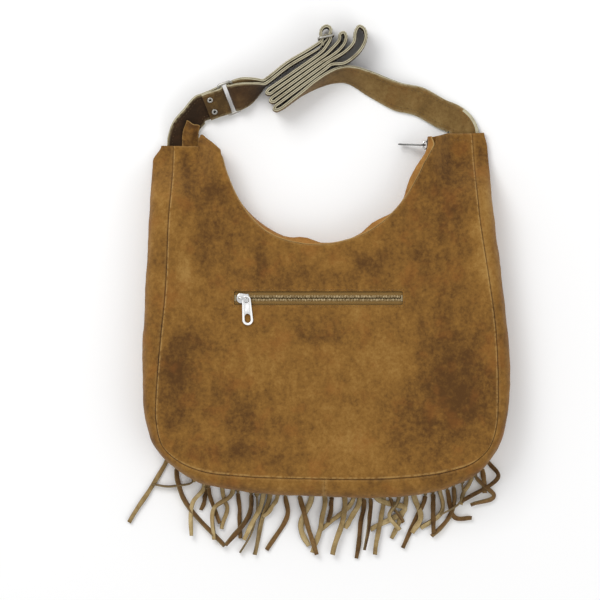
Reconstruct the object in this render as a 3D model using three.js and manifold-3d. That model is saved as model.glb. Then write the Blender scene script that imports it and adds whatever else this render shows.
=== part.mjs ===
// Fringed suede shoulder bag, lying on its fringed front with the zipped back pocket up.
// Millimetres. +X runs across the bag, +Y towards the strap, +Z up from the floor it lies on.
// The origin is on the floor, below the middle of the whole thing, strap and fringe included.
import * as THREE from 'three';
import { mergeVertices } from 'three/addons/utils/BufferGeometryUtils.js';
import Module from 'manifold-3d';

const wasm = await Module();
wasm.setup();

// Body
const BODY_WIDTH = 358;
const BODY_HEIGHT = 350;
const BODY_MIDDLE_X = 9;
const BODY_BOTTOM_Y = -195.3;
const SIDE_HEIGHT = 44;
const MIDDLE_HEIGHT = 34;
const SUEDE = 1.4;
const SEAM_GAP = 0.3;
const GUSSET_FULLNESS = 2.6;
const GUSSET_TOP = 16;
const SLACK_REACH = 60;

// Tabs at the top of each side, where the straps are sewn in
const TAB_AIR = 3.4;
const TAB_MARGIN = 2;
const TAB_DROP = 65;
const TAB_START = -5;
const TAB_BLEND = 32;
const STRAP_IN_FOLD = 7;
const FOLD_AIR = 4.6;
const STRAP_IN_TAB = 20;
const STRAP_OVER_FRONT = 0.7;

// Mouth, a round cut between the tabs, closed by a zip on two suede facings
const MOUTH_X = 5.8;
const MOUTH_RISE = 5.4;
const MOUTH_RADIUS = 109.2;
const MOUTH_BULGE = 4;
const MOUTH_FIRST_DEG = -175;
const MOUTH_LAST_DEG = 2;
const MOUTH_SLIDER_DEG = -2.6;
const FACING_REVEAL = 6.6;
const FACING_GAP = 0.7;

// Straps and their hardware
const STRAP_WIDTH = 31;
const STRAP_THICK = 3;
const STRAP_SKIVED = 1.4;
const STRAND_PITCH = 4.1;
const EYE_ROOM = 0.3;
const RING_SPAN = 15;
const RING_WIRE = 3;
const RING_TILT_DEG = 28;
const RING_TURN_DEG = 21.2;
const EDGE_PLAY = 1;
const LOOP_CLEARANCE = 0.35;
const FREE_LOOP_CLEARANCE = 1.8;
const RIVET_HEAD = 6.4;
const RIVET_BARREL = 4.2;
const RIVET_HOLE = 2.6;
const RIVET_SHEET = 0.5;
const RIVET_SPACING = 14.6;
const RIVET_FROM_BAR = 12.5;
const FOLD_BACK = 19;
const ADJUSTER_WIRE = 2.4;

// Zips
const TOOTH_GAP = 1.4;
const TOOTH_ROW = 2.5;
const TOOTH_THICK = 2.6;
const TAPE_THICK = 0.6;
const TAPE_WIDTH = 9;
const ZIP_FLAT = 6;
const SLIDER_LENGTH = 13;
const SLIDER_WIDTH = 10.6;
const SLIDER_PLATE = 1.1;
const SLIDER_CLEARANCE = 0.4;
const SLIDER_WEB = 0.7;
const BAIL_WIRE = 1.9;
const BAIL_FEET = 7.6;
const BAIL_REACH = 3.7;
const PULL_LENGTH = 31;
const PULL_THICK = 1.5;
const PULL_WIDTH = 9;
const PULL_TIP_WIDTH = 11.2;
const PULL_EYE = 6.2;
const PULL_BAND = 1.4;
const STOP_LENGTH = 1.8;

// Back pocket
const POCKET_BELOW_MOUTH = 52.9;
const WINDOW_LENGTH = 177;
const WINDOW_HEIGHT = 14.4;
const POCKET_WIDTH = 194;
const POCKET_FOOT = 67.8;
const POCKET_SLOT = 14;
const POCKET_HOLLOW = 8.6;
const LINING = 0.6;
const LINING_GAP = 0.5;
const LINING_INSET = 0.4;
const LINING_DROP = 0.4;
const LINING_HANG = 42;

// Fringe, cut as one piece and sewn across the front
const FRINGE_THICK = 1.6;
const FRINGE_HEADER_Y = -140;
const FRINGE_HEADER = 16;
const FRINGE_STRIP = 6;
const FRINGE_LEFT = -156;
const FRINGE_RIGHT = 172;
const FRINGE_LAYER = 1.9;

// What follows from those sizes
const FRONT_LIFT = FRINGE_THICK + SEAM_GAP;
const TAB_HEIGHT = 2 * SUEDE + STRAP_THICK + TAB_AIR;
const MOUTH_Y = BODY_BOTTOM_Y + BODY_HEIGHT + MOUTH_RISE;
const MOUTH_MIDDLE = MIDDLE_HEIGHT / 2;
const MOUTH_EDGE = MOUTH_RADIUS + MOUTH_BULGE;
const POCKET_Y = MOUTH_Y - MOUTH_EDGE - POCKET_BELOW_MOUTH;
const MOUTH_TAPE = MOUTH_RADIUS + SUEDE + SEAM_GAP + TAPE_THICK / 2;
const POCKET_TAPE = MIDDLE_HEIGHT - SUEDE - SEAM_GAP - TAPE_THICK / 2;
const ROW_START = TOOTH_GAP / 2;
const ROW_END = ROW_START + TOOTH_ROW;
const SLIDER_HALF = TOOTH_THICK / 2 + SLIDER_CLEARANCE;
const SLIDER_TOP = SLIDER_HALF + SLIDER_PLATE;
const LEATHER_HOLE = RIVET_BARREL + 2 * SEAM_GAP;

const deg = THREE.MathUtils.degToRad;
const lerp = THREE.MathUtils.lerp;
const vector = (x, y, z = 0) => new THREE.Vector3(x, y, z);

// Finishes
const finish = (color, roughness, metalness = 0) => new THREE.MeshStandardMaterial({ color, roughness, metalness });
const SUEDE_FINISH = finish(0x8a6134, 0.95);
const FACING_FINISH = finish(0xa5692f, 0.9);
const FRINGE_FINISH = finish(0xa88756, 0.95);
const STRAP_FINISH = finish(0x735833, 0.9);
const TAPE_FINISH = finish(0x9a7440, 0.9);
const TEETH_FINISH = finish(0xb39a6a, 0.5);
const LINING_FINISH = finish(0x6b4a2a, 0.95);
const NICKEL_FINISH = finish(0xd5d5d2, 0.25, 1);
const DARK_METAL_FINISH = finish(0x55524c, 0.4, 1);

const bag = new THREE.Group();

function add(name, geometry, material, place = null) {
  const mesh = new THREE.Mesh(geometry, material);
  mesh.name = name;
  if (place) {
    mesh.applyMatrix4(place);
  }
  bag.add(mesh);
  return mesh;
}

// Booleans
function bare(geometry) {
  const copy = geometry.clone();
  copy.deleteAttribute('normal');
  copy.deleteAttribute('uv');
  copy.clearGroups();
  return mergeVertices(copy, 1e-4);
}

function solid(geometry) {
  const merged = bare(geometry);
  const vertProperties = new Float32Array(merged.attributes.position.array);
  const triVerts = new Uint32Array(merged.index.array);
  return new wasm.Manifold(new wasm.Mesh({ numProp: 3, vertProperties, triVerts }));
}

function geometryOf(manifold) {
  const mesh = manifold.getMesh();
  const geometry = new THREE.BufferGeometry();
  geometry.setAttribute('position', new THREE.BufferAttribute(new Float32Array(mesh.vertProperties), 3));
  geometry.setIndex(new THREE.BufferAttribute(new Uint32Array(mesh.triVerts), 1));
  return geometry;
}

function join(...geometries) {
  return geometryOf(geometries.map(solid).reduce((whole, next) => whole.add(next)));
}

function cut(geometry, ...tools) {
  return geometryOf(tools.map(solid).reduce((whole, next) => whole.subtract(next), solid(geometry)));
}

function block(x0, x1, y0, y1, z0, z1) {
  const geometry = new THREE.BoxGeometry(x1 - x0, y1 - y0, z1 - z0);
  return geometry.translate((x0 + x1) / 2, (y0 + y1) / 2, (z0 + z1) / 2);
}

// A closed sheet: a divided box whose corners (u, v, w), each 0 to 1, go where place puts them.
function sheet(uSteps, vSteps, place) {
  const geometry = bare(new THREE.BoxGeometry(1, 1, 1, uSteps, vSteps, 1));
  const points = geometry.attributes.position;
  for (let i = 0; i < points.count; i += 1) {
    const spot = place(points.getX(i) + 0.5, points.getY(i) + 0.5, points.getZ(i) + 0.5);
    points.setXYZ(i, spot.x, spot.y, spot.z);
  }
  return facesOut(geometry);
}

function facesOut(geometry) {
  if (signedVolume(geometry) < 0) {
    const index = geometry.index.array;
    for (let i = 0; i < index.length; i += 3) {
      [index[i + 1], index[i + 2]] = [index[i + 2], index[i + 1]];
    }
  }
  return geometry;
}

function signedVolume(geometry) {
  const points = geometry.attributes.position;
  const corner = (i) => new THREE.Vector3().fromBufferAttribute(points, geometry.index.getX(i));
  let sum = 0;
  for (let i = 0; i < geometry.index.count; i += 3) {
    sum += corner(i).dot(corner(i + 1).cross(corner(i + 2)));
  }
  return sum / 6;
}

// Outline of both panels: the seam to the gusset, as shares of the body's half width and height
const SEAM_SHAPE = [
  [-0.904, 1.0], [-0.909, 0.895], [-0.927, 0.775], [-0.945, 0.565], [-0.974, 0.415], [-0.998, 0.263],
  [-1.0, 0.175], [-0.963, 0.1], [-0.863, 0.051], [-0.716, 0.021], [-0.47, 0.007], [-0.04, 0],
  [0.369, 0.001], [0.663, 0.017], [0.85, 0.047], [0.941, 0.089], [0.988, 0.151], [1.0, 0.281],
  [0.985, 0.455], [0.944, 0.611], [0.891, 0.791], [0.868, 0.941], [0.856, 1.038],
];
const CORNER_LEFT = 7;
const CORNER_RIGHT = 15;

// How far the gusset stands out past the seam at each point of that outline
const GUSSET_BULGES = [
  21, 22, 21, 22, 20, 14.6, 11.5, 7, 7.6, 13, 17.6, 19, 21.6, 18.8, 12.4, 8.4, 9.8, 14.3, 12.7, 14.1, 15.8, 15.4, 15.4,
];
const seamPoint = ([across, up]) => {
  const x = BODY_MIDDLE_X + (across * BODY_WIDTH) / 2;
  return vector(x, BODY_BOTTOM_Y + up * BODY_HEIGHT);
};
const seam = new THREE.CatmullRomCurve3(SEAM_SHAPE.map(seamPoint), false, 'centripetal');
const SEAM_PARTS = (SEAM_SHAPE.length - 1) * 20;
const seamLengths = seam.getLengths(SEAM_PARTS);
const seamShare = (index) => seamLengths[index * 20] / seamLengths[SEAM_PARTS];
const SHARE_LEFT = seamShare(CORNER_LEFT);
const SHARE_RIGHT = seamShare(CORNER_RIGHT);
const seamTopLeft = seam.getPoint(0);
const seamTopRight = seam.getPoint(1);
const seamAt = (share) => seam.getPointAt(THREE.MathUtils.clamp(share, 0, 1));
const seamOutward = (share) => {
  const along = seam.getTangentAt(THREE.MathUtils.clamp(share, 0, 1));
  return vector(along.y, -along.x).normalize();
};

const leftStrapX = seamTopLeft.x - STRAP_IN_FOLD + STRAP_WIDTH / 2;
const rightStrapX = seamTopRight.x + STRAP_IN_FOLD - STRAP_WIDTH / 2;
const leftTabEnd = vector(leftStrapX + STRAP_WIDTH / 2 + TAB_MARGIN, seamTopLeft.y);
const rightTabEnd = vector(rightStrapX - STRAP_WIDTH / 2 - TAB_MARGIN, seamTopRight.y);

const aroundMouth = (radius, angleDeg, z = 0) =>
  vector(MOUTH_X + radius * Math.cos(deg(angleDeg)), MOUTH_Y + radius * Math.sin(deg(angleDeg)), z);

// Top edge of a panel, in steps: 2 along a tab, 1 down its shoulder, 18 round the mouth, and back up
const TAB_STEPS = 2;
const ARC_STEPS = 18;
const ARC_FROM = TAB_STEPS + 1;
const ARC_TO = ARC_FROM + ARC_STEPS;
const ACROSS = ARC_TO + ARC_FROM;
const DOWN = 14;
const TAB_SHARE = 0.17;

function topEdge(step, radius) {
  if (step <= TAB_STEPS) {
    return seamTopLeft.clone().lerp(leftTabEnd, step / TAB_STEPS);
  }
  if (step >= ACROSS - TAB_STEPS) {
    return seamTopRight.clone().lerp(rightTabEnd, (ACROSS - step) / TAB_STEPS);
  }
  const turn = (step - ARC_FROM) / ARC_STEPS;
  const clamped = THREE.MathUtils.clamp(turn, 0, 1);
  return aroundMouth(radius, lerp(MOUTH_FIRST_DEG, MOUTH_LAST_DEG, clamped));
}

function acrossShare(step) {
  if (step <= ARC_FROM) {
    return (TAB_SHARE * step) / ARC_FROM;
  }
  if (step >= ARC_TO) {
    return 1 - (TAB_SHARE * (ACROSS - step)) / ARC_FROM;
  }
  return lerp(TAB_SHARE, 1 - TAB_SHARE, (step - ARC_FROM) / ARC_STEPS);
}

// A point of a panel in plan, blended from its four edges
function panelPoint(step, v, radius = MOUTH_EDGE) {
  const u = acrossShare(step);
  const top = topEdge(step, radius);
  const bottom = seamAt(lerp(SHARE_LEFT, SHARE_RIGHT, u));
  const left = seamAt(SHARE_LEFT * v);
  const right = seamAt(1 - (1 - SHARE_RIGHT) * v);
  const spot = top.multiplyScalar(1 - v).addScaledVector(bottom, v);
  spot.addScaledVector(left, 1 - u).addScaledVector(right, u);
  spot.addScaledVector(seamTopLeft, -(1 - u) * (1 - v)).addScaledVector(seamTopRight, -u * (1 - v));
  spot.addScaledVector(seamAt(SHARE_LEFT), -(1 - u) * v).addScaledVector(seamAt(SHARE_RIGHT), -u * v);
  return spot;
}

const smooth = (x, from, to) => THREE.MathUtils.smoothstep(x, Math.min(from, to), Math.max(from, to));

// How far a place belongs to a tab, 0 to 1
function tabness(spot) {
  const up = smooth(spot.y, seamTopLeft.y - TAB_DROP, seamTopLeft.y - 5);
  const out = Math.abs(spot.x - MOUTH_X);
  return up * smooth(out, MOUTH_EDGE + TAB_START, MOUTH_EDGE + TAB_START + TAB_BLEND);
}

// Height of the back panel's outer face: slack in the middle, held up along the gusset, low at the tabs
function backHeight(spot, u, v, middle = MIDDLE_HEIGHT) {
  const side = Math.min(u, 1 - u) * BODY_WIDTH;
  const bottom = (1 - v) * BODY_HEIGHT * 0.75;
  const slack = smooth(side, 0, SLACK_REACH) * smooth(bottom, 0, SLACK_REACH);
  const full = lerp(SIDE_HEIGHT, middle, slack);
  return lerp(full, TAB_HEIGHT, tabness(spot));
}

// Height of the front panel's outer face: on the floor, but raised where the fringe lies under it
const frontHeight = (spot) => FRONT_LIFT * (1 - smooth(spot.y, FRINGE_HEADER_Y + 16, FRINGE_HEADER_Y + 52));

// A layer that follows a panel's own grid, from a first row down, with its edges drawn in by a share of a cell
function panelLayer(firstRow, inset, lowFace, highFace) {
  const spotAt = (step, row, face) => {
    const left = Math.floor(Math.min(step, ACROSS - 1));
    const top = Math.floor(Math.min(row, DOWN - 1));
    const corner = (i, j) => {
      const spot = panelPoint(left + i, (top + j) / DOWN);
      return spot.setZ(face(spot, acrossShare(left + i), (top + j) / DOWN));
    };
    const upper = corner(0, 0).lerp(corner(1, 0), step - left);
    const lower = corner(0, 1).lerp(corner(1, 1), step - left);
    return upper.lerp(lower, row - top);
  };
  return sheet(ACROSS, DOWN - firstRow, (s, t, w) => {
    const step = THREE.MathUtils.clamp(s * ACROSS, inset, ACROSS - inset);
    const row = Math.min(lerp(DOWN, firstRow, t), DOWN - inset);
    return spotAt(step, row, w > 0.5 ? highFace : lowFace);
  });
}

// Back and front panels
const raised = (height, offset) => (spot, u, v) => height(spot, u, v) + offset;
const backSheet = panelLayer(0, 0, raised(backHeight, -SUEDE), backHeight);
const windowCut = block(
  -WINDOW_LENGTH / 2, WINDOW_LENGTH / 2,
  POCKET_Y - WINDOW_HEIGHT / 2, POCKET_Y + WINDOW_HEIGHT / 2,
  MIDDLE_HEIGHT - 10, MIDDLE_HEIGHT + 10,
);
add('back_panel', cut(backSheet, windowCut), SUEDE_FINISH);
add('front_panel', panelLayer(0, 0, frontHeight, raised(frontHeight, SUEDE)), SUEDE_FINISH);

// Gusset halves, from each tab down to the seam at the bottom
const HALF_ACROSS = ACROSS / 2;
const GUSSET_STEPS = DOWN + HALF_ACROSS;
const AROUND = 8;
function gussetShare(step, side) {
  const fromTab = step <= DOWN ? step / DOWN : 1;
  const along = Math.max(0, step - DOWN);
  const u = acrossShare(along);
  if (side < 0) {
    return step <= DOWN ? SHARE_LEFT * fromTab : lerp(SHARE_LEFT, SHARE_RIGHT, u);
  }
  return step <= DOWN ? 1 - (1 - SHARE_RIGHT) * fromTab : lerp(SHARE_RIGHT, SHARE_LEFT, u);
}

function gussetBulge(share, y) {
  const point = seam.getUtoTmapping(share) * (GUSSET_BULGES.length - 1);
  const before = Math.min(Math.floor(point), GUSSET_BULGES.length - 2);
  const free = lerp(GUSSET_BULGES[before], GUSSET_BULGES[before + 1], point - before);
  const top = share < 0.5 ? seamTopLeft.y : seamTopRight.y;
  return lerp(free, STRAP_IN_FOLD + SUEDE + FOLD_AIR, smooth(y, top - GUSSET_TOP, top));
}

function gusset(side) {
  return sheet(GUSSET_STEPS, AROUND, (s, t, w) => {
    const step = s * GUSSET_STEPS;
    const share = gussetShare(step, side);
    const spot = seamAt(share);
    const outward = seamOutward(share);
    const u = side < 0 ? 0 : 1;
    const high = backHeight(spot, u, 0.5);
    const low = frontHeight(spot);
    const bulge = gussetBulge(share, spot.y) - SUEDE * (1 - w);
    const half = (high - low) / 2 - SUEDE * (1 - w);
    const turn = lerp(-Math.PI / 2, Math.PI / 2, t);
    const power = 2 / GUSSET_FULLNESS;
    const out = bulge * Math.cos(turn) ** power;
    const rise = half * Math.sign(turn) * Math.abs(Math.sin(turn)) ** power;
    const end = step > GUSSET_STEPS - 0.5 ? SEAM_GAP / 2 : 0;
    spot.addScaledVector(outward, SEAM_GAP + (t === 0 || t === 1 ? 0 : out));
    spot.x += side * end;
    return spot.setZ((high + low) / 2 + rise);
  });
}
add('gusset_left', gusset(-1), SUEDE_FINISH);
add('gusset_right', gusset(1), SUEDE_FINISH);

// Wall of the mouth: facings, tapes and teeth follow one round profile, bulged towards the opening
const wallRadius = (z, low, high) => {
  const reach = z > MOUTH_MIDDLE ? high - MOUTH_MIDDLE : MOUTH_MIDDLE - low;
  const beyond = Math.max(0, Math.abs(z - MOUTH_MIDDLE) - ZIP_FLAT) / (reach - ZIP_FLAT);
  return MOUTH_RADIUS + MOUTH_BULGE * beyond ** 2;
};
const mouthTop = (angle) => backHeight(aroundMouth(MOUTH_EDGE, angle), 0.5, 0);
const MOUTH_STEPS = 36;

function mouthBand(zSteps, side, near, far, depth, thick) {
  return sheet(MOUTH_STEPS, zSteps, (s, t, w) => {
    const angle = lerp(MOUTH_FIRST_DEG, MOUTH_LAST_DEG, s);
    const high = mouthTop(angle);
    const z = MOUTH_MIDDLE + side * lerp(near, far(side > 0 ? high - MOUTH_MIDDLE : MOUTH_MIDDLE), t);
    return aroundMouth(wallRadius(z, 0, high) + depth + thick * w, angle, z);
  });
}
const facingFar = (reach) => reach - SUEDE - FACING_GAP;
const tapeFar = (reach) => Math.min(ROW_END + SEAM_GAP + TAPE_WIDTH, reach - SUEDE - 2 * FACING_GAP);
const tapeDepth = SUEDE + SEAM_GAP;
for (const [word, side] of [['back', 1], ['front', -1]]) {
  add(`facing_${word}`, mouthBand(3, side, FACING_REVEAL, facingFar, 0, SUEDE), FACING_FINISH);
  const tape = mouthBand(2, side, ROW_END + SEAM_GAP, tapeFar, tapeDepth, TAPE_THICK);
  add(`mouth_tape_${word}`, tape, TAPE_FINISH);
  const row = sheet(MOUTH_STEPS, 1, (s, t, w) => {
    const angle = lerp(MOUTH_FIRST_DEG + 1, MOUTH_LAST_DEG - 1, s);
    const z = MOUTH_MIDDLE + side * lerp(ROW_START, ROW_END, t);
    return aroundMouth(MOUTH_TAPE + TOOTH_THICK * (w - 0.5), angle, z);
  });
  add(`mouth_teeth_${word}`, row, TEETH_FINISH);
}

// A zip slider about the middle of its zip: nose towards +X, top face up, with a round bail over it
function sliderGeometry() {
  const outline = new THREE.Shape();
  const half = SLIDER_LENGTH / 2;
  const wide = SLIDER_WIDTH / 2;
  outline.moveTo(-half, -wide * 0.72);
  outline.quadraticCurveTo(half * 0.2, -wide * 0.98, half * 0.3, -wide);
  outline.quadraticCurveTo(half * 0.95, -wide * 0.9, half, 0);
  outline.quadraticCurveTo(half * 0.95, wide * 0.9, half * 0.3, wide);
  outline.quadraticCurveTo(half * 0.2, wide * 0.98, -half, wide * 0.72);
  outline.closePath();
  const plate = new THREE.ExtrudeGeometry(outline, { depth: SLIDER_PLATE, bevelEnabled: false, curveSegments: 4 });
  const top = plate.clone().translate(0, 0, SLIDER_HALF);
  const bottom = plate.clone().translate(0, 0, -SLIDER_TOP);
  const web = block(half * 0.1, half * 0.8, -SLIDER_WEB / 2, SLIDER_WEB / 2, -SLIDER_TOP + 0.2, SLIDER_TOP - 0.2);
  const parts = [top, bottom, web];
  const slit = TAPE_THICK / 2 + SLIDER_CLEARANCE;
  const inner = ROW_END + SLIDER_CLEARANCE;
  for (const side of [-1, 1]) {
    const [y0, y1] = [side * inner, side * (inner + 0.9)].sort((a, b) => a - b);
    parts.push(block(-half + 0.4, half * 0.45, y0, y1, slit, SLIDER_TOP - 0.2));
    parts.push(block(-half + 0.4, half * 0.45, y0, y1, -SLIDER_TOP + 0.2, -slit));
  }
  parts.push(bailGeometry());
  return join(...parts);
}

function bailGeometry() {
  const foot = BAIL_FEET / 2;
  const rise = SLIDER_TOP + BAIL_REACH;
  const bend = 1.9;
  const route = new THREE.CurvePath();
  route.add(new THREE.LineCurve3(vector(-foot, 0, SLIDER_HALF + 0.3), vector(-foot, 0, rise - bend)));
  route.add(new THREE.QuadraticBezierCurve3(
    vector(-foot, 0, rise - bend), vector(-foot, 0, rise), vector(-foot + bend, 0, rise)));
  route.add(new THREE.LineCurve3(vector(-foot + bend, 0, rise), vector(foot - bend, 0, rise)));
  route.add(new THREE.QuadraticBezierCurve3(
    vector(foot - bend, 0, rise), vector(foot, 0, rise), vector(foot, 0, rise - bend)));
  route.add(new THREE.LineCurve3(vector(foot, 0, rise - bend), vector(foot, 0, SLIDER_HALF + 0.3)));
  return new THREE.ExtrudeGeometry(circle(BAIL_WIRE / 2, 8), { steps: 26, extrudePath: route });
}

function circle(radius, sides) {
  const shape = new THREE.Shape();
  for (let i = 0; i < sides; i += 1) {
    const angle = (2 * Math.PI * i) / sides;
    shape[i ? 'lineTo' : 'moveTo'](radius * Math.cos(angle), radius * Math.sin(angle));
  }
  shape.closePath();
  return shape;
}

// A stamped pull about the wire its eye hangs on: flat in XY, pointing to -Y, with an eye and a slot
function pullGeometry() {
  const wire = BAIL_WIRE / 2 + SEAM_GAP;
  const eyeY = wire - PULL_EYE / 2;
  const endY = eyeY + PULL_EYE / 2 + PULL_BAND;
  const tipY = endY - PULL_LENGTH;
  const top = PULL_WIDTH / 2;
  const tip = PULL_TIP_WIDTH / 2;
  const shape = new THREE.Shape();
  shape.moveTo(-top, eyeY);
  shape.absarc(0, eyeY, top, Math.PI, 0, true);
  shape.lineTo(tip, tipY + tip);
  shape.absarc(0, tipY + tip, tip, 0, -Math.PI, true);
  shape.closePath();
  const eye = new THREE.Path();
  eye.absarc(0, eyeY, PULL_EYE / 2, 0, 2 * Math.PI, false);
  const slot = new THREE.Path();
  slot.absarc(0, tipY + tip, tip - 2.4, Math.PI, 2 * Math.PI, false);
  slot.absarc(0, tipY + tip + 3.2, tip - 2.4, 0, Math.PI, false);
  shape.holes.push(eye, slot);
  const settings = { depth: PULL_THICK, bevelEnabled: false, curveSegments: 8 };
  return facesOut(bare(new THREE.ExtrudeGeometry(shape, settings).translate(0, 0, -PULL_THICK / 2)));
}

// Pocket zip, level under its window in the back panel
const windowEnd = WINDOW_LENGTH / 2;
const stopFrom = windowEnd - SEAM_GAP - STOP_LENGTH;
const rowEnd = stopFrom - SEAM_GAP;
for (const [word, side] of [['upper', 1], ['lower', -1]]) {
  const inner = ROW_END + SEAM_GAP;
  const [t0, t1] = [side * inner, side * (inner + TAPE_WIDTH)].sort((a, b) => a - b);
  const [r0, r1] = [side * ROW_START, side * ROW_END].sort((a, b) => a - b);
  const tapeLength = windowEnd + 9;
  const tape = block(
    -tapeLength, tapeLength, POCKET_Y + t0, POCKET_Y + t1,
    POCKET_TAPE - TAPE_THICK / 2, POCKET_TAPE + TAPE_THICK / 2,
  );
  add(`pocket_tape_${word}`, tape, TAPE_FINISH);
  const row = block(
    -rowEnd, rowEnd, POCKET_Y + r0, POCKET_Y + r1,
    POCKET_TAPE - TOOTH_THICK / 2, POCKET_TAPE + TOOTH_THICK / 2,
  );
  add(`pocket_teeth_${word}`, row, TEETH_FINISH);
}
const stopAt = (x0, x1) => block(
  x0, x1, POCKET_Y - ROW_END, POCKET_Y + ROW_END,
  POCKET_TAPE - TOOTH_THICK / 2, POCKET_TAPE + TOOTH_THICK / 2,
);
add('pocket_stop_left', stopAt(-stopFrom - STOP_LENGTH, -stopFrom), NICKEL_FINISH);
add('pocket_stop_right', stopAt(stopFrom, stopFrom + STOP_LENGTH), NICKEL_FINISH);

const pocketSliderX = -rowEnd + SLIDER_LENGTH / 2;
const noseLeft = new THREE.Matrix4().makeRotationZ(Math.PI);
noseLeft.setPosition(pocketSliderX, POCKET_Y, POCKET_TAPE);
add('pocket_slider', sliderGeometry(), NICKEL_FINISH, noseLeft);
const pullZ = POCKET_TAPE + SLIDER_TOP + SEAM_GAP + PULL_THICK / 2;
const pocketPull = new THREE.Matrix4().makeRotationZ(deg(4));
pocketPull.setPosition(pocketSliderX + BAIL_FEET / 2, POCKET_Y, pullZ);
add('pocket_pull', pullGeometry(), NICKEL_FINISH, pocketPull);

// Pocket bag under the zip, sewn round the window
const pocketTop = POCKET_TAPE - TAPE_THICK / 2 - SEAM_GAP;
const pocketFloor = pocketTop - POCKET_HOLLOW - 2 * LINING;
const pocketHead = POCKET_Y + ROW_END + SEAM_GAP + TAPE_WIDTH + 6;
const pocketHalf = POCKET_WIDTH / 2;
const pocketFoot = BODY_BOTTOM_Y + POCKET_FOOT;
const pocketOuter = block(-pocketHalf, pocketHalf, pocketFoot, pocketHead, pocketFloor, pocketTop);
const pocketInner = block(
  -pocketHalf + LINING, pocketHalf - LINING,
  pocketFoot + LINING, pocketHead - LINING,
  pocketFloor + LINING, pocketTop - LINING,
);
const pocketSlot = block(
  -windowEnd, windowEnd, POCKET_Y - POCKET_SLOT / 2, POCKET_Y + POCKET_SLOT / 2,
  pocketTop - POCKET_HOLLOW / 2, pocketTop + 1,
);
add('pocket_bag', cut(pocketOuter, pocketInner, pocketSlot), LINING_FINISH);

// Lining: one layer on the front panel, and one that hangs below the pocket bag
const liningUnder = SUEDE + LINING_GAP;
const frontLining = panelLayer(1, LINING_INSET, raised(frontHeight, liningUnder), raised(frontHeight, liningUnder + LINING));
add('lining_front', frontLining, LINING_FINISH);
const liningFloor = pocketFloor - LINING_DROP;
function hangingLining(offset) {
  return (spot, u, v) => {
    const near = backHeight(spot, u, v) - liningUnder;
    const side = Math.min(u, 1 - u) * BODY_WIDTH;
    const deep = smooth(side, 0, LINING_HANG) * smooth((1 - v) * BODY_HEIGHT, 0, LINING_HANG);
    return lerp(near, Math.min(near, liningFloor), deep) + offset;
  };
}
const backLining = panelLayer(1, LINING_INSET, hangingLining(-LINING), hangingLining(0));
add('lining_back', backLining, LINING_FINISH);

// A strap through stations, each with its middle c, the way w across it and its thickness
function strap(stations, perStation) {
  stations.forEach(ground);
  const middles = new THREE.CatmullRomCurve3(stations.map((station) => station.c), false, 'centripetal');
  const steps = (stations.length - 1) * perStation;
  return sheet(steps, 2, (s, t, q) => {
    const at = s * (stations.length - 1);
    const from = Math.min(Math.floor(at + 1e-6), stations.length - 2);
    const share = at - from;
    const across = stations[from].w.clone().lerp(stations[from + 1].w, share).normalize();
    const thick = lerp(stations[from].thick, stations[from + 1].thick, share);
    const along = middles.getTangent(s);
    const normal = along.clone().cross(across).normalize();
    const spot = middles.getPoint(s);
    return spot.addScaledVector(across, STRAP_WIDTH * (t - 0.5)).addScaledVector(normal, thick * (q - 0.5));
  });
}

// Lifts a station whose lowest corner would be in the floor
function ground(station) {
  const flat = Math.sqrt(1 - station.w.z ** 2);
  const low = station.c.z - (STRAP_WIDTH / 2) * Math.abs(station.w.z) - (station.thick / 2) * flat;
  station.c.z += Math.max(0, SEAM_GAP - low);
}

// A station that rests on the floor: w points from the raised edge to the low one
function resting(x, y, headingDeg, tiltDeg, lift = 0, thick = STRAP_THICK) {
  const tilt = deg(tiltDeg);
  const heading = deg(headingDeg);
  const w = vector(Math.cos(heading) * Math.cos(tilt), Math.sin(heading) * Math.cos(tilt), -Math.sin(tilt));
  const z = (STRAP_WIDTH / 2) * Math.sin(tilt) + (thick / 2) * Math.cos(tilt) + SEAM_GAP + lift;
  return { c: vector(x, y, z), w, thick };
}
const standing = (x, y, lift = 0, thick = STRAP_THICK) => resting(x, y, -65, 90, lift, thick);

// Ring that links the straps: along runs from the short strap to the long one, bars lie across
const ringMiddle = vector(leftStrapX + 50.6, seamTopLeft.y + 50.4, 13.6);
const ringAlong = vector(Math.cos(deg(RING_TURN_DEG)), Math.sin(deg(RING_TURN_DEG)));
const ringAcross = vector(
  Math.sin(deg(RING_TURN_DEG)) * Math.cos(deg(RING_TILT_DEG)),
  -Math.cos(deg(RING_TURN_DEG)) * Math.cos(deg(RING_TILT_DEG)),
  -Math.sin(deg(RING_TILT_DEG)),
);
const ringUp = ringAcross.clone().cross(ringAlong).normalize();
const ringPlace = new THREE.Matrix4().makeBasis(ringAlong, ringAcross.clone().negate(), ringUp);
ringPlace.setPosition(ringMiddle);

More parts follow.
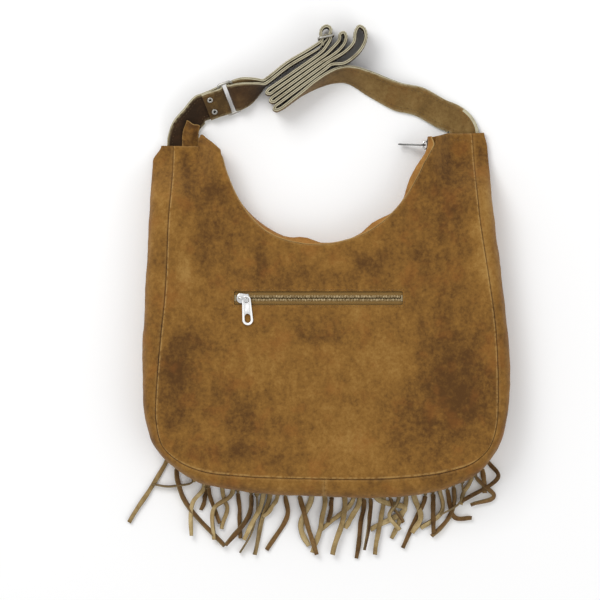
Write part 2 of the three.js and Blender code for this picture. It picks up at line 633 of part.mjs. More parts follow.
function wireLoop(length, width, wire, extraBar) {
  const corner = wire * 0.9;
  const x = length / 2;
  const y = width / 2;
  const outline = (dx, dy, r) => {
    const shape = new THREE.Shape();
    shape.moveTo(-dx + r, -dy);
    shape.lineTo(dx - r, -dy);
    shape.absarc(dx - r, -dy + r, r, -Math.PI / 2, 0, false);
    shape.absarc(dx - r, dy - r, r, 0, Math.PI / 2, false);
    shape.absarc(-dx + r, dy - r, r, Math.PI / 2, Math.PI, false);
    shape.absarc(-dx + r, -dy + r, r, Math.PI, 1.5 * Math.PI, false);
    return shape;
  };
  const bevel = wire * 0.29;
  const frame = outline(x + wire / 2 - bevel, y + wire / 2 - bevel, corner);
  frame.holes.push(outline(x - wire / 2 + bevel, y - wire / 2 + bevel, wire * 0.3));
  const settings = {
    depth: wire - 2 * bevel, bevelEnabled: true, bevelSize: bevel, bevelThickness: bevel,
    bevelSegments: 1, curveSegments: 3,
  };
  const loop = new THREE.ExtrudeGeometry(frame, settings).translate(0, 0, -wire / 2 + bevel);
  if (!extraBar) {
    return facesOut(bare(loop));
  }
  const bar = new THREE.CylinderGeometry(wire / 2, wire / 2, width, 8);
  return join(facesOut(bare(loop)), bar);
}
const ringReach = STRAP_WIDTH + 2 * EDGE_PLAY + RING_WIRE;
add('ring', wireLoop(RING_SPAN, ringReach, RING_WIRE, false), NICKEL_FINISH, ringPlace);

// A station in the ring's own frame
const atRing = (along, up) => ({
  c: ringMiddle.clone().addScaledVector(ringAlong, along).addScaledVector(ringUp, up),
  w: ringAcross.clone(),
  thick: STRAP_THICK,
});
const barX = RING_SPAN / 2;
const fixedTurn = RING_WIRE / 2 + LOOP_CLEARANCE + STRAP_THICK / 2;
const looseTurn = RING_WIRE / 2 + FREE_LOOP_CLEARANCE + STRAP_THICK / 2;
const layerUp = (STRAP_THICK + SEAM_GAP) / 2;

function turnRound(centre, radius, fromDeg, toDeg, parts) {
  const stations = [];
  for (let i = 0; i <= parts; i += 1) {
    const angle = deg(lerp(fromDeg, toDeg, i / parts));
    stations.push(atRing(centre + radius * Math.cos(angle), radius * Math.sin(angle)));
  }
  return stations;
}

// Short strap: out of the left tab, up and round to the ring, and folded back over itself
const tabZ = SUEDE + STRAP_OVER_FRONT + STRAP_THICK / 2;
const inTab = (x, y) => ({ c: vector(x, y, tabZ), w: vector(1, 0, 0), thick: STRAP_THICK });
const shortStrap = [
  inTab(leftStrapX, seamTopLeft.y - STRAP_IN_TAB),
  inTab(leftStrapX, seamTopLeft.y - STRAP_IN_TAB / 2),
  inTab(leftStrapX, seamTopLeft.y + 1),
  resting(leftStrapX + 1, seamTopLeft.y + 11, -3, 12),
  resting(leftStrapX + 5, seamTopLeft.y + 21.5, -16, 24),
  resting(leftStrapX + 13.5, seamTopLeft.y + 31.5, -36, 34),
  atRing(-barX - FOLD_BACK - 6, -layerUp - 0.4),
  atRing(-barX - FOLD_BACK, -layerUp),
  atRing(-barX - RIVET_FROM_BAR, -layerUp),
  atRing(-barX - 6, -layerUp - 0.5),
  ...turnRound(-barX, fixedTurn, -100, 100, 6),
  atRing(-barX - 6, layerUp + 0.5),
  atRing(-barX - RIVET_FROM_BAR, layerUp),
  atRing(-barX - FOLD_BACK, layerUp),
];
const rivetPlaces = [-1, 1].map((side) => {
  const place = ringPlace.clone();
  const spot = atRing(-barX - RIVET_FROM_BAR, 0).c.addScaledVector(ringAcross, (side * RIVET_SPACING) / 2);
  return place.setPosition(spot);
});
const rivetHoles = rivetPlaces.map((place) => {
  const hole = new THREE.CylinderGeometry(LEATHER_HOLE / 2, LEATHER_HOLE / 2, 20, 12).rotateX(Math.PI / 2);
  return hole.applyMatrix4(place);
});
add('strap_short', cut(strap(shortStrap, 2), ...rivetHoles), STRAP_FINISH);

// Hollow rivets that close the fold
function rivetGeometry() {
  const reach = STRAP_THICK + SEAM_GAP / 2 + SEAM_GAP;
  const head = reach + RIVET_SHEET;
  const points = [
    [RIVET_HOLE / 2, -head], [RIVET_HEAD / 2, -head], [RIVET_HEAD / 2, -reach], [RIVET_BARREL / 2, -reach],
    [RIVET_BARREL / 2, reach], [RIVET_HEAD / 2, reach], [RIVET_HEAD / 2, head], [RIVET_HOLE / 2, head],
    [RIVET_HOLE / 2, -head],
  ];
  const lathe = new THREE.LatheGeometry(points.map(([r, z]) => new THREE.Vector2(r, z)), 14);
  return facesOut(bare(lathe.rotateX(Math.PI / 2)));
}
['rivet_upper', 'rivet_lower'].forEach((name, i) => add(name, rivetGeometry(), NICKEL_FINISH, rivetPlaces[i]));

// Sliding adjuster on the long strap, standing on edge
const adjusterSlot = STRAP_THICK + 2 * STRAP_SKIVED + LOOP_CLEARANCE + 0.3;
const adjusterReach = adjusterSlot / 2 + STRAP_THICK + SEAM_GAP + ADJUSTER_WIRE / 2;
const adjusterBar = ringMiddle.clone().add(vector(101.5, 63.2));
const adjusterAlong = vector(0.977, 0.215).normalize();
const adjusterHeight = STRAP_WIDTH + 2 * EDGE_PLAY + ADJUSTER_WIRE;
const adjusterZ = SEAM_GAP + ADJUSTER_WIRE / 2 + adjusterHeight / 2;
const adjusterPlace = new THREE.Matrix4().makeBasis(
  adjusterAlong, vector(0, 0, 1), adjusterAlong.clone().cross(vector(0, 0, 1)));
adjusterPlace.setPosition(adjusterBar.x, adjusterBar.y, adjusterZ);
add('adjuster', wireLoop(2 * adjusterReach, adjusterHeight, ADJUSTER_WIRE, true), NICKEL_FINISH, adjusterPlace);

// Long strap, from the end sewn round the adjuster's bar to the right tab
const adjusterLift = ADJUSTER_WIRE + EDGE_PLAY;
const gateStep = vector(2.0, -3.57).normalize().multiplyScalar(STRAND_PITCH);
const gateFirst = adjusterBar.clone().add(vector(-6.8, -6.4)).setZ(0);
const gate = (index) => gateFirst.clone().addScaledVector(gateStep, index - 1 + (index > 2 ? EYE_ROOM : 0));
const backwards = vector(-0.436, -0.9);
const sideways = vector(0.9, -0.436);
const nearBar = (back, aside) => {
  const spot = adjusterBar.clone().addScaledVector(backwards, back).addScaledVector(sideways, aside);
  return standing(spot.x, spot.y, adjusterLift, STRAP_SKIVED);
};
const eyeTurn = ADJUSTER_WIRE / 2 + LOOP_CLEARANCE + STRAP_SKIVED / 2;
const layerAside = (STRAP_SKIVED + SEAM_GAP) / 2;

// The two strands at the ring turn from its tilt to standing on edge
const twistEnd = ringMiddle.clone().add(vector(38, 16.5)).setZ(STRAP_WIDTH / 2 + SEAM_GAP);
function twisting(share, side) {
  const start = ringMiddle.clone().addScaledVector(ringAlong, barX + 3);
  const middle = start.lerp(twistEnd, share);
  const w = ringAcross.clone().lerp(vector(0, 0, -1), share).normalize();
  const normal = w.clone().cross(ringAlong).normalize();
  const off = lerp(looseTurn, STRAND_PITCH / 2, THREE.MathUtils.smoothstep(share, 0, 1));
  return { c: middle.addScaledVector(normal, side * off), w, thick: STRAP_THICK };
}
const strand = (point, lift = 0) => standing(point.x, point.y, lift);
const slotAside = adjusterAlong.clone().multiplyScalar(adjusterSlot / 2 + STRAP_THICK / 2);
const throughSlot = vector(-adjusterAlong.y, adjusterAlong.x);
const slotPoint = (side, on) => {
  const spot = adjusterBar.clone().addScaledVector(slotAside, side).addScaledVector(throughSlot, on);
  return strand(spot, adjusterLift);
};

// Folds hidden in the middle of the hank: strands 3 to 8 turn back in pairs
const foldStart = twistEnd.clone().add(vector(3, -8.5)).setZ(0);
const foldStep = vector(1.95, -4.25);
const foldPoint = (index) => foldStart.clone().addScaledVector(foldStep, index - 3);
const betweenGateAndFold = (index, share) => strand(gate(index).lerp(foldPoint(index), share));
const foldTurn = (index) => {
  const middle = foldPoint(index).lerp(foldPoint(index + 1), 0.5);
  return strand(middle.add(vector(-2.6, -1.2)));
};
const fan = (dx, dy, lift = 0) => standing(adjusterBar.x + dx, adjusterBar.y + dy, lift);

const onRight = (dx, dy, heading, tilt) =>
  resting(rightStrapX + dx, seamTopRight.y + dy, heading, tilt);
const longStrap = [
  nearBar(9.5, layerAside),
  nearBar(6, layerAside),
  nearBar(2.5, eyeTurn * 0.85),
  nearBar(0, eyeTurn),
  nearBar(-eyeTurn * 0.7, eyeTurn * 0.7),
  nearBar(-eyeTurn, 0),
  nearBar(-eyeTurn * 0.7, -eyeTurn * 0.7),
  nearBar(0, -eyeTurn),
  nearBar(2.5, -eyeTurn * 0.85),
  nearBar(7, -layerAside),
  nearBar(13, -layerAside),
  strand(gate(2).add(vector(-14, -8.6)), 1.5),
  strand(gate(2).add(vector(-34, -20.4))),
  twisting(1, 1),
  twisting(0.75, 1),
  twisting(0.5, 1),
  twisting(0.25, 1),
  ...turnRound(barX, looseTurn, 80, 280, 6),
  twisting(0.25, -1),
  twisting(0.5, -1),
  twisting(0.75, -1),
  twisting(1, -1),
  strand(gate(1).add(vector(-34, -20.2))),
  strand(gate(1).add(vector(-10, -6)), 2),
  slotPoint(-1, -2),
  slotPoint(-1, 2),
  fan(-5.2, 6.2, adjusterLift),
  fan(-3.3, 9.6, adjusterLift),
  fan(0.6, 11.6, adjusterLift),
  fan(4.5, 9.6, adjusterLift),
  fan(5.2, 5.8, adjusterLift),
  slotPoint(1, 2),
  slotPoint(1, -2),
  strand(gate(3).add(vector(1.6, 3.4)), 2),
  strand(gate(3).add(vector(-3, -1.6)), 1),
  betweenGateAndFold(3, 0.5),
  betweenGateAndFold(3, 0.93),
  strand(foldPoint(3)),
  foldTurn(3),
  strand(foldPoint(4)),
  betweenGateAndFold(4, 0.93),
  betweenGateAndFold(4, 0.5),
  betweenGateAndFold(4, 0.1),
  strand(gate(4)),
  fan(8.2, -10.2),
  fan(14.4, -2.4),
  fan(15, 3.2),
  fan(18.8, 4.9),
  fan(21.2, 1.2),
  fan(19.8, -6),
  fan(13, -14.4),
  strand(gate(5).add(vector(2.2, 0.8))),
  betweenGateAndFold(5, 0.1),
  betweenGateAndFold(5, 0.5),
  betweenGateAndFold(5, 0.93),
  strand(foldPoint(5)),
  foldTurn(5),
  strand(foldPoint(6)),
  betweenGateAndFold(6, 0.93),
  betweenGateAndFold(6, 0.5),
  betweenGateAndFold(6, 0.1),
  strand(gate(6)),
  fan(20.5, -15),
  fan(29.6, -4.8),
  fan(31, 5.4),
  fan(35, 11.6),
  fan(40.4, 8.6),
  fan(42.2, 0),
  fan(38, -11),
  fan(29.4, -20.6),
  fan(19, -27.4),
  strand(gate(7)),
  betweenGateAndFold(7, 0.1),
  betweenGateAndFold(7, 0.5),
  betweenGateAndFold(7, 0.93),
  strand(foldPoint(7)),
  foldTurn(7),
  strand(foldPoint(8)),
  onRight(-173, 40.4, -62, 88),
  onRight(-154.2, 52.5, -66, 78),
  onRight(-136.4, 60.4, -84, 66),
  onRight(-122, 61.6, -90, 57),
  onRight(-100, 52.4, -97, 37),
  onRight(-84, 44.8, -100, 28),
  onRight(-69, 38.4, -104, 18),
  onRight(-48, 34, -107, 10),
  onRight(-24, 21, -109, 4),
  onRight(-13, 16.4, -120, 2),
  onRight(-6, 11.5, -138, 1),
  { c: vector(rightStrapX - 0.5, seamTopRight.y + 4, tabZ), w: vector(-1, -0.12), thick: STRAP_THICK },
  { c: vector(rightStrapX, seamTopRight.y - 7, tabZ), w: vector(-1, 0, 0), thick: STRAP_THICK },
  { c: vector(rightStrapX, seamTopRight.y - STRAP_IN_TAB, tabZ), w: vector(-1, 0, 0), thick: STRAP_THICK },
];
add('strap_long', strap(longStrap, 2), STRAP_FINISH);

// Folded suede end of the mouth zip, standing out of the left tab's inner corner
const ZIP_END_WIDTH = 16;
const zipEndMiddles = new THREE.CatmullRomCurve3([
  vector(leftTabEnd.x - 0.5, leftTabEnd.y - 7, tabZ + STRAP_THICK / 2 + SEAM_GAP + 0.9),
  vector(leftTabEnd.x - 1.5, leftTabEnd.y + 2, tabZ + STRAP_THICK / 2 + SEAM_GAP + 1.1),
  vector(leftTabEnd.x - 3.4, leftTabEnd.y + 13, tabZ + STRAP_THICK / 2 + 8),
  vector(leftTabEnd.x - 4.4, leftTabEnd.y + 23, tabZ + STRAP_THICK / 2 + 14),
]);
add('zip_end_tab', sheet(6, 2, (s, t, w) => {
  const spot = zipEndMiddles.getPoint(s);
  const across = vector(1, -0.12).lerp(vector(0.92, -0.39, -0.1), s).normalize();
  const normal = across.clone().cross(zipEndMiddles.getTangent(s)).normalize();
  return spot.addScaledVector(across, ZIP_END_WIDTH * (t - 0.5)).addScaledVector(normal, 1.8 * (w - 0.5));
}), SUEDE_FINISH);

// Mouth slider and pull: the slider stands on the zip at the right end, the pull droops to the floor
const sliderSpot = aroundMouth(MOUTH_TAPE, MOUTH_SLIDER_DEG, MOUTH_MIDDLE);
const sliderIn = aroundMouth(1, MOUTH_SLIDER_DEG).sub(vector(MOUTH_X, MOUTH_Y)).negate().normalize();
const sliderNose = vector(sliderIn.y, -sliderIn.x);
const mouthSlider = new THREE.Matrix4().makeBasis(sliderNose, sliderIn.clone().cross(sliderNose), sliderIn);
mouthSlider.setPosition(sliderSpot);
add('mouth_slider', sliderGeometry(), DARK_METAL_FINISH, mouthSlider);
const DROOP_DEG = 24;
const pullPivot = sliderSpot.clone().addScaledVector(sliderIn, SLIDER_TOP + BAIL_REACH);
const pullDown = sliderIn.clone().multiplyScalar(-Math.cos(deg(DROOP_DEG))).setZ(Math.sin(deg(DROOP_DEG)));
const mouthPull = new THREE.Matrix4().makeBasis(
  pullDown.clone().cross(sliderNose), pullDown, sliderNose);
mouthPull.setPosition(pullPivot);
add('mouth_pull', pullGeometry(), NICKEL_FINISH, mouthPull);

// Stops at the two ends of the mouth zip
for (const [word, angle] of [['left', MOUTH_FIRST_DEG + 0.4], ['right', MOUTH_LAST_DEG - 0.4]]) {
  const stop = new THREE.Matrix4().makeRotationZ(deg(angle)).setPosition(aroundMouth(MOUTH_TAPE, angle, MOUTH_MIDDLE));
  const crimp = block(-TOOTH_THICK / 2, TOOTH_THICK / 2, -STOP_LENGTH / 3, STOP_LENGTH / 3, -ROW_END, ROW_END);
  add(`mouth_stop_${word}`, crimp, NICKEL_FINISH, stop);
}

// Fringe: where each strip leaves the bag's edge, a middle, its tip, and the layer it lies in there
const FRINGE_STRIPS = [
  [-157, -176, -179, -209, -200, -243, 0],
  [-148, -186, -143, -205, -124, -236, 0],
  [-140, -192, -142, -207, -132, -219, 1],
  [-131, -198, -118, -226, -99, -268, 0],
  [-123, -205, -132, -222, -133, -256, 0],
  [-116, -206, -110, -224, -104, -244, 1],
  [-107, -208, -104, -232, -108, -258, 0],
  [-99, -210, -106, -232, -112, -240, 2],
  [-90, -213, -109, -226, -109, -261, 1],
  [-82, -214, -84, -236, -83, -260, 0],
  [-74, -214, -72, -236, -98, -266, 1],
  [-66, -214, -66, -236, -69, -247, 0],
  [-58, -214, -60, -244, -82, -275, 0],
  [-50, -214, -58, -238, -67, -276, 1],
  [-42, -214, -44, -228, -60, -237, 2],
  [-34, -214, -35, -236, -55, -272, 0],
  [-24, -214, -14, -244, -3, -276, 0],
  [-12, -214, -20, -246, -10, -268, 1],
  [-3, -214, 4, -240, 10, -270, 0],
  [6, -215, 1, -245, -6, -274, 1],
  [15, -216, 14, -230, 12, -240, 2],
  [23, -216, 22, -244, 15, -276, 0],
  [33, -217, 26, -240, 2, -252, 1],
  [42, -217, 36, -238, 28, -250, 0],
  [50, -217, 42, -250, 40, -281, 0],
  [58, -217, 54, -246, 49, -272, 1],
  [66, -217, 62, -240, 60, -276, 0],
  [74, -217, 82, -230, 56, -251, 2],
  [82, -216, 90, -238, 80, -250, 0],
  [90, -216, 92, -228, 106, -254, 1],
  [99, -215, 96, -240, 88, -270, 0],
  [107, -215, 104, -238, 90, -270, 1],
  [115, -214, 118, -236, 121, -252, 0],
  [124, -212, 116, -232, 104, -250, 1],
  [132, -210, 138, -232, 160, -240, 0],
  [141, -206, 140, -226, 120, -256, 0],
  [149, -202, 156, -220, 170, -222, 1],
  [157, -196, 166, -212, 152, -222, 0],
  [165, -190, 172, -204, 172, -214, 0],
  [173, -182, 188, -196, 152, -220, 1],
];

function fringeStrip(root, layer, gatePoint, middle, tip) {
  const rise = layer * FRINGE_LAYER;
  const route = new THREE.CatmullRomCurve3([root, gatePoint, middle, tip], false, 'centripetal');
  return sheet(5, 1, (s, t, w) => {
    const along = route.getTangent(s);
    const across = vector(-along.y, along.x);
    const spot = route.getPoint(s).addScaledVector(across, FRINGE_STRIP * (t - 0.5));
    return spot.setZ(FRINGE_THICK * w + rise * smooth(s, 0.34, 0.62));
  });
}
const stripPitch = (FRINGE_RIGHT - FRINGE_LEFT - FRINGE_STRIP) / (FRINGE_STRIPS.length - 1);
const header = block(
  FRINGE_LEFT, FRINGE_RIGHT, FRINGE_HEADER_Y - FRINGE_HEADER / 2, FRINGE_HEADER_Y + FRINGE_HEADER / 2,
  0, FRINGE_THICK,
);
const fringePieces = FRINGE_STRIPS.map(([gx, gy, mx, my, tx, ty, layer], i) => {
  const rootX = FRINGE_LEFT + FRINGE_STRIP / 2 + i * stripPitch;
  const root = vector(rootX, FRINGE_HEADER_Y - FRINGE_HEADER / 2 + 2);
  return fringeStrip(root, layer, vector(gx, gy), vector(mx, my), vector(tx, ty));
});
add('fringe', join(header, ...fringePieces), FRINGE_FINISH);

export default bag;
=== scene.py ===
"""Looks of the fringed suede shoulder bag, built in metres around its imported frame.

The bag lies on its fringed front. Shapes are worked out in millimetres, in the frame's own axes, and are
scaled to metres where a mesh is made.
"""
import sys
import logging
import math
from dataclasses import dataclass
from enum import Enum
from typing import Callable, Iterable, Sequence

import bmesh
import bpy
import numpy as np
from mathutils import Matrix, Vector, noise


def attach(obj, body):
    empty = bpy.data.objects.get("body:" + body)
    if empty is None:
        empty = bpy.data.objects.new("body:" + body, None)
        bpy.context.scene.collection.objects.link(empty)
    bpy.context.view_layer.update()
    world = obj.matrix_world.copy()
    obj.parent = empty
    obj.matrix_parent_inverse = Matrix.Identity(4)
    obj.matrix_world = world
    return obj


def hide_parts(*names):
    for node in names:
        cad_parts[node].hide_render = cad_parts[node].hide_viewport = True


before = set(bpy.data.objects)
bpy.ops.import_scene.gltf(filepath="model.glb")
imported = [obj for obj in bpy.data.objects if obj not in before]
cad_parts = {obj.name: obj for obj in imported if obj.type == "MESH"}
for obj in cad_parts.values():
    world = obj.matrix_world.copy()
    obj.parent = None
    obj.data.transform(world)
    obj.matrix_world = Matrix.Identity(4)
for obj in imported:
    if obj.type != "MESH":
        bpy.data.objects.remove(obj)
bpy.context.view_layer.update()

LOG = logging.getLogger("bag")
MM = 0.001
BAG = "bag"
UP = np.array([0, 0, 1.0])
FLAT = np.array([1, 1, 0])
Grid = np.ndarray


# Numbers and curves


def smooth(x: Grid, low: float, high: float) -> Grid:
    """Smooth step of x from 0 at low to 1 at high."""
    t = np.clip((np.asarray(x, float) - low) / (high - low), 0.0, 1.0)
    return t * t * (3 - 2 * t)


def lerp(a: Grid, b: Grid, t: Grid) -> Grid:
    """Straight blend from a to b."""
    return a + (b - a) * t


def unit(v: Grid) -> Grid:
    """Vectors of length one, along the last axis."""
    v = np.asarray(v, float)
    return v / np.maximum(np.linalg.norm(v, axis=-1, keepdims=True), 1e-9)


def spread(*spans: tuple[float, float, int]) -> Grid:
    """Rising values over joined spans of (first, last, steps), without repeats."""
    parts = [np.linspace(a, b, n + 1)[:-1] for a, b, n in spans]
    return np.concatenate([*parts, [spans[-1][1]]])


def soft_noise(points: Grid, scale: float, seed: float) -> Grid:
    """Smooth noise from about -1 to 1.

    Args:
        points: places in millimetres, shape (..., 3).
        scale: size of a blot in millimetres.
        seed: offset that makes one field differ from another.

    Returns:
        One value a place.
    """
    flat = points.reshape(-1, 3) / scale + seed * 7.31
    values = [noise.noise(Vector(p)) for p in flat.tolist()]
    return np.array(values).reshape(points.shape[:-1])


def read_table(table: Sequence[tuple[float, float]], at: Grid, blur: float) -> Grid:
    """Reads (place, value) pairs, each value mixed with its two neighbours by a share of blur."""
    places, values = zip(*table)
    return np.interp(at, places, np.convolve(np.pad(values, 1, "edge"), (blur, 1 - 2 * blur, blur), "valid"))


class SmoothCurve:
    """A centripetal Catmull-Rom curve through points, read by station number."""

    def __init__(self, points: Sequence[Sequence[float]]) -> None:
        """Takes the points that the curve passes through."""
        p = np.asarray(points, float)
        self.count = len(p)
        self.ext = np.vstack([2 * p[0] - p[1], p, 2 * p[-1] - p[-2]])
        self.steps = np.maximum(np.sqrt(np.linalg.norm(np.diff(self.ext, axis=0), axis=1)), 1e-4)

    def at(self, t: Grid) -> tuple[Grid, Grid]:
        """Places and directions.

        Args:
            t: station numbers, from 0 to count - 1.

        Returns:
            The places and the unit tangents there.
        """
        t = np.clip(np.asarray(t, float), 0, self.count - 1)
        i = np.minimum(t.astype(int), self.count - 2)
        f = (t - i)[..., None]
        p0, p1, p2, p3 = (self.ext[i + k] for k in range(4))
        d0, d1, d2 = (self.steps[i + k][..., None] for k in range(3))
        m1 = ((p1 - p0) / d0 - (p2 - p0) / (d0 + d1) + (p2 - p1) / d1) * d1
        m2 = ((p2 - p1) / d1 - (p3 - p1) / (d1 + d2) + (p3 - p2) / d2) * d1
        c2 = -3 * p1 + 3 * p2 - 2 * m1 - m2
        c3 = 2 * p1 - 2 * p2 + m1 + m2
        place = p1 + f * (m1 + f * (c2 + f * c3))
        return place, unit(m1 + f * (2 * c2 + 3 * f * c3))


# Shader nodes


class Value:
    """A socket that takes part in sums and products, each of which adds a Math node."""

    def __init__(self, tree: "Shader", socket: bpy.types.NodeSocket) -> None:
        """Wraps a socket of the tree."""
        self.tree, self.socket = tree, socket

    def _math(self, operation: str, a: object, b: object) -> "Value":
        """A Math node on two values."""
        return self.tree.add("ShaderNodeMath", {"operation": operation}, {0: a, 1: b})

    def __add__(self, other: object) -> "Value":
        """Sum."""
        return self._math("ADD", self, other)

    def __mul__(self, other: object) -> "Value":
        """Product."""
        return self._math("MULTIPLY", self, other)

    def __sub__(self, other: object) -> "Value":
        """Difference."""
        return self._math("SUBTRACT", self, other)

    def __rsub__(self, other: object) -> "Value":
        """Difference from a number."""
        return self._math("SUBTRACT", other, self)

    __radd__ = __add__
    __rmul__ = __mul__

    def above(self, low: float, high: float) -> "Value":
        """0 below low, 1 above high, smooth between."""
        inputs = {"Value": self, "From Min": low, "From Max": high}
        return self.tree.add("ShaderNodeMapRange", {"interpolation_type": "SMOOTHSTEP"}, inputs)


class Shader:
    """A material under construction, with one method for any node."""

    def __init__(self, name: str) -> None:
        """Starts an empty material with a principled shader and its output."""
        self.material = bpy.data.materials.new(name)
        self.material.use_nodes = True
        self.nodes = self.material.node_tree.nodes
        self.links = self.material.node_tree.links
        self.nodes.clear()
        self.surface = self.nodes.new("ShaderNodeBsdfPrincipled")
        output = self.nodes.new("ShaderNodeOutputMaterial")
        self.links.new(self.surface.outputs[0], output.inputs[0])

    def _feed(self, node: bpy.types.Node, inputs: dict) -> None:
        """Links or sets a node's sockets."""
        for key, value in inputs.items():
            socket = node.inputs[key]
            if isinstance(value, Value):
                self.links.new(value.socket, socket)
            else:
                socket.default_value = value

    def add(self, kind: str, settings: dict | None = None, inputs: dict | None = None,
            output: object = 0) -> Value:
        """Adds a node.

        Args:
            kind: the node's type.
            settings: its properties, set first.
            inputs: values or links of its sockets.
            output: name or number of the socket that is returned.

        Returns:
            The output socket.
        """
        node = self.nodes.new(kind)
        for key, value in (settings or {}).items():
            setattr(node, key, value)
        self._feed(node, inputs or {})
        return Value(self, node.outputs[output])

    def places(self, scale: Sequence[float] = (1, 1, 1), turn: float = 0.0) -> Value:
        """Object coordinates, scaled and turned about Z."""
        source = self.add("ShaderNodeTexCoord", output="Object")
        inputs = {"Vector": source, "Scale": tuple(scale), "Rotation": (0, 0, turn)}
        return self.add("ShaderNodeMapping", None, inputs)

    def noise(self, size: float, detail: float = 3, rough: float = 0.55, where: Value | None = None) -> Value:
        """Noise with blots of a size in metres."""
        inputs = {"Vector": where or self.places(), "Scale": 1 / size, "Detail": detail, "Roughness": rough}
        return self.add("ShaderNodeTexNoise", None, inputs)

    def attribute(self, name: str) -> Value:
        """A value stored on the mesh."""
        return self.add("ShaderNodeAttribute", {"attribute_name": name}, output="Fac")

    def mix(self, share: object, a: object, b: object) -> Value:
        """Mixes two colours."""
        first, second = (c if isinstance(c, Value) else (*c, 1) for c in (a, b))
        return self.add("ShaderNodeMix", {"data_type": "RGBA"}, {0: share, 6: first, 7: second}, 2)

    def bump(self, height: Value, strength: float, distance: float) -> Value:
        """A bump from a height, distance in metres."""
        inputs = {"Height": height, "Strength": strength, "Distance": distance}
        return self.add("ShaderNodeBump", None, inputs)

    def finish(self, **sockets: object) -> bpy.types.Material:
        """Sets the principled shader's sockets, with underscores for spaces, and returns the material."""
        self._feed(self.surface, {key.replace("_", " "): value for key, value in sockets.items()})
        return self.material


Colour = tuple[float, float, float]


@dataclass(frozen=True)
class Suede:
    """Brushed suede: blots where the nap lies another way, fine grain, and pale edges that are partly wear and
    partly painted highlight.
    """

    name: str
    middle: Colour
    dark: Colour
    light: Colour
    wear_and_edge_highlight: Colour
    warm: Colour
    blot: float = 0.05
    grain: float = 0.0016
    depth: float = 0.0005

    def make(self) -> bpy.types.Material:
        """Builds the material."""
        s = Shader(self.name)
        blots = s.noise(self.blot, 6, 0.68)
        brushed = s.noise(0.011, 5, 0.66, s.places((1.0, 0.6, 1.0), 0.5))
        fine = s.noise(self.grain, 3, 0.7)
        specks = s.noise(self.grain * 2.4, 3, 0.65)
        hue = s.noise(0.028, 3, 0.6)
        nap = s.attribute("nap")
        tufts = s.noise(0.0042, 4, 0.7)
        tone = blots * 0.5 + brushed * 0.5 + tufts * 0.42 + specks * 0.3 + nap * 0.27 - 0.36
        colour = s.mix(tone.above(0.2, 0.6), self.dark, self.middle)
        colour = s.mix(tone.above(0.5, 0.84) * 0.85, colour, self.light)
        colour = s.mix(hue.above(0.5, 0.72) * 0.4, colour, self.warm)
        colour = s.mix(fine.above(0.46, 0.78) * 0.3, colour, self.dark)
        # Pale edge mark: partly real wear, partly a painted highlight on the rolled lips of seams and edges.
        wear_and_edge_highlight = s.attribute("wear_and_edge_highlight") * s.noise(0.004, 2).above(0.3, 0.6)
        colour = s.mix(wear_and_edge_highlight, colour, self.wear_and_edge_highlight)
        height = fine * 0.7 + specks * 0.6 + brushed * 0.5
        normal = s.bump(height, 0.5, self.depth)
        rough = 0.86 + fine * 0.12
        return s.finish(
            Base_Color=colour, Roughness=rough, Normal=normal, Sheen_Weight=0.09, Sheen_Roughness=0.5,
            Specular_IOR_Level=0.18)


@dataclass(frozen=True)
class RawEdge:
    """The pale fibrous edge of cut suede."""

    name: str
    pale: Colour
    brown: Colour

    def make(self) -> bpy.types.Material:
        """Builds the material."""
        s = Shader(self.name)
        fibre = s.noise(0.0012, 3, 0.7)
        dirt = s.noise(0.012, 3, 0.6)
        colour = s.mix(dirt.above(0.45, 0.75) * 0.55 + fibre.above(0.5, 0.8) * 0.25, self.pale, self.brown)
        return s.finish(
            Base_Color=colour, Roughness=0.92, Normal=s.bump(fibre, 0.4, 0.0003), Specular_IOR_Level=0.2)


@dataclass(frozen=True)
class Plated:
    """Plated metal with faint smears and scratches."""

    name: str
    base: Colour
    dull: Colour
    rough: float
    metal: float = 1.0

    def make(self) -> bpy.types.Material:
        """Builds the material."""
        s = Shader(self.name)
        smear = s.noise(0.006, 3, 0.6)
        scratch = s.noise(0.0012, 2, 0.6, s.places((1, 0.08, 1), 0.4))
        colour = s.mix(smear.above(0.5, 0.8) * 0.4, self.base, self.dull)
        rough = smear * 0.14 + (self.rough - 0.05)
        normal = s.bump(scratch, 0.08, 0.0001)
        return s.finish(Base_Color=colour, Roughness=rough, Metallic=self.metal, Normal=normal)


@dataclass(frozen=True)
class Woven:
    """Woven cloth or tape: two crossing sets of threads on Object coordinates."""

    name: str
    base: Colour
    shade: Colour
    pitch: float
    depth: float = 0.00015

    def make(self) -> bpy.types.Material:
        """Builds the material."""
        s = Shader(self.name)
        scale = 1 / (self.pitch * 20 / math.tau / 3.18)
        threads = []
        for way in "XY":
            wave = {"wave_type": "BANDS", "wave_profile": "SIN", "bands_direction": way}
            threads.append(s.add("ShaderNodeTexWave", wave, {"Vector": s.places(), "Scale": scale}))
        weave = threads[0] * 0.5 + threads[1] * 0.5
        patch = s.noise(0.01, 3)
        colour = s.mix(weave.above(0.2, 0.8) * 0.6 + patch * 0.3, self.shade, self.base)
        normal = s.bump(weave, 0.4, self.depth)
        return s.finish(Base_Color=colour, Roughness=0.9, Normal=normal, Sheen_Weight=0.15)


@dataclass(frozen=True)
class Moulded:
    """Smooth moulded plastic or twisted thread, with a slight change of tone."""

    name: str
    base: Colour
    shade: Colour
    rough: float

    def make(self) -> bpy.types.Material:
        """Builds the material."""
        s = Shader(self.name)
        tone = s.noise(0.003, 2)
        colour = s.mix(tone.above(0.35, 0.7), self.shade, self.base)
        rough = self.rough + tone * 0.1
        return s.finish(Base_Color=colour, Roughness=rough, Normal=s.bump(tone, 0.1, 0.0001))


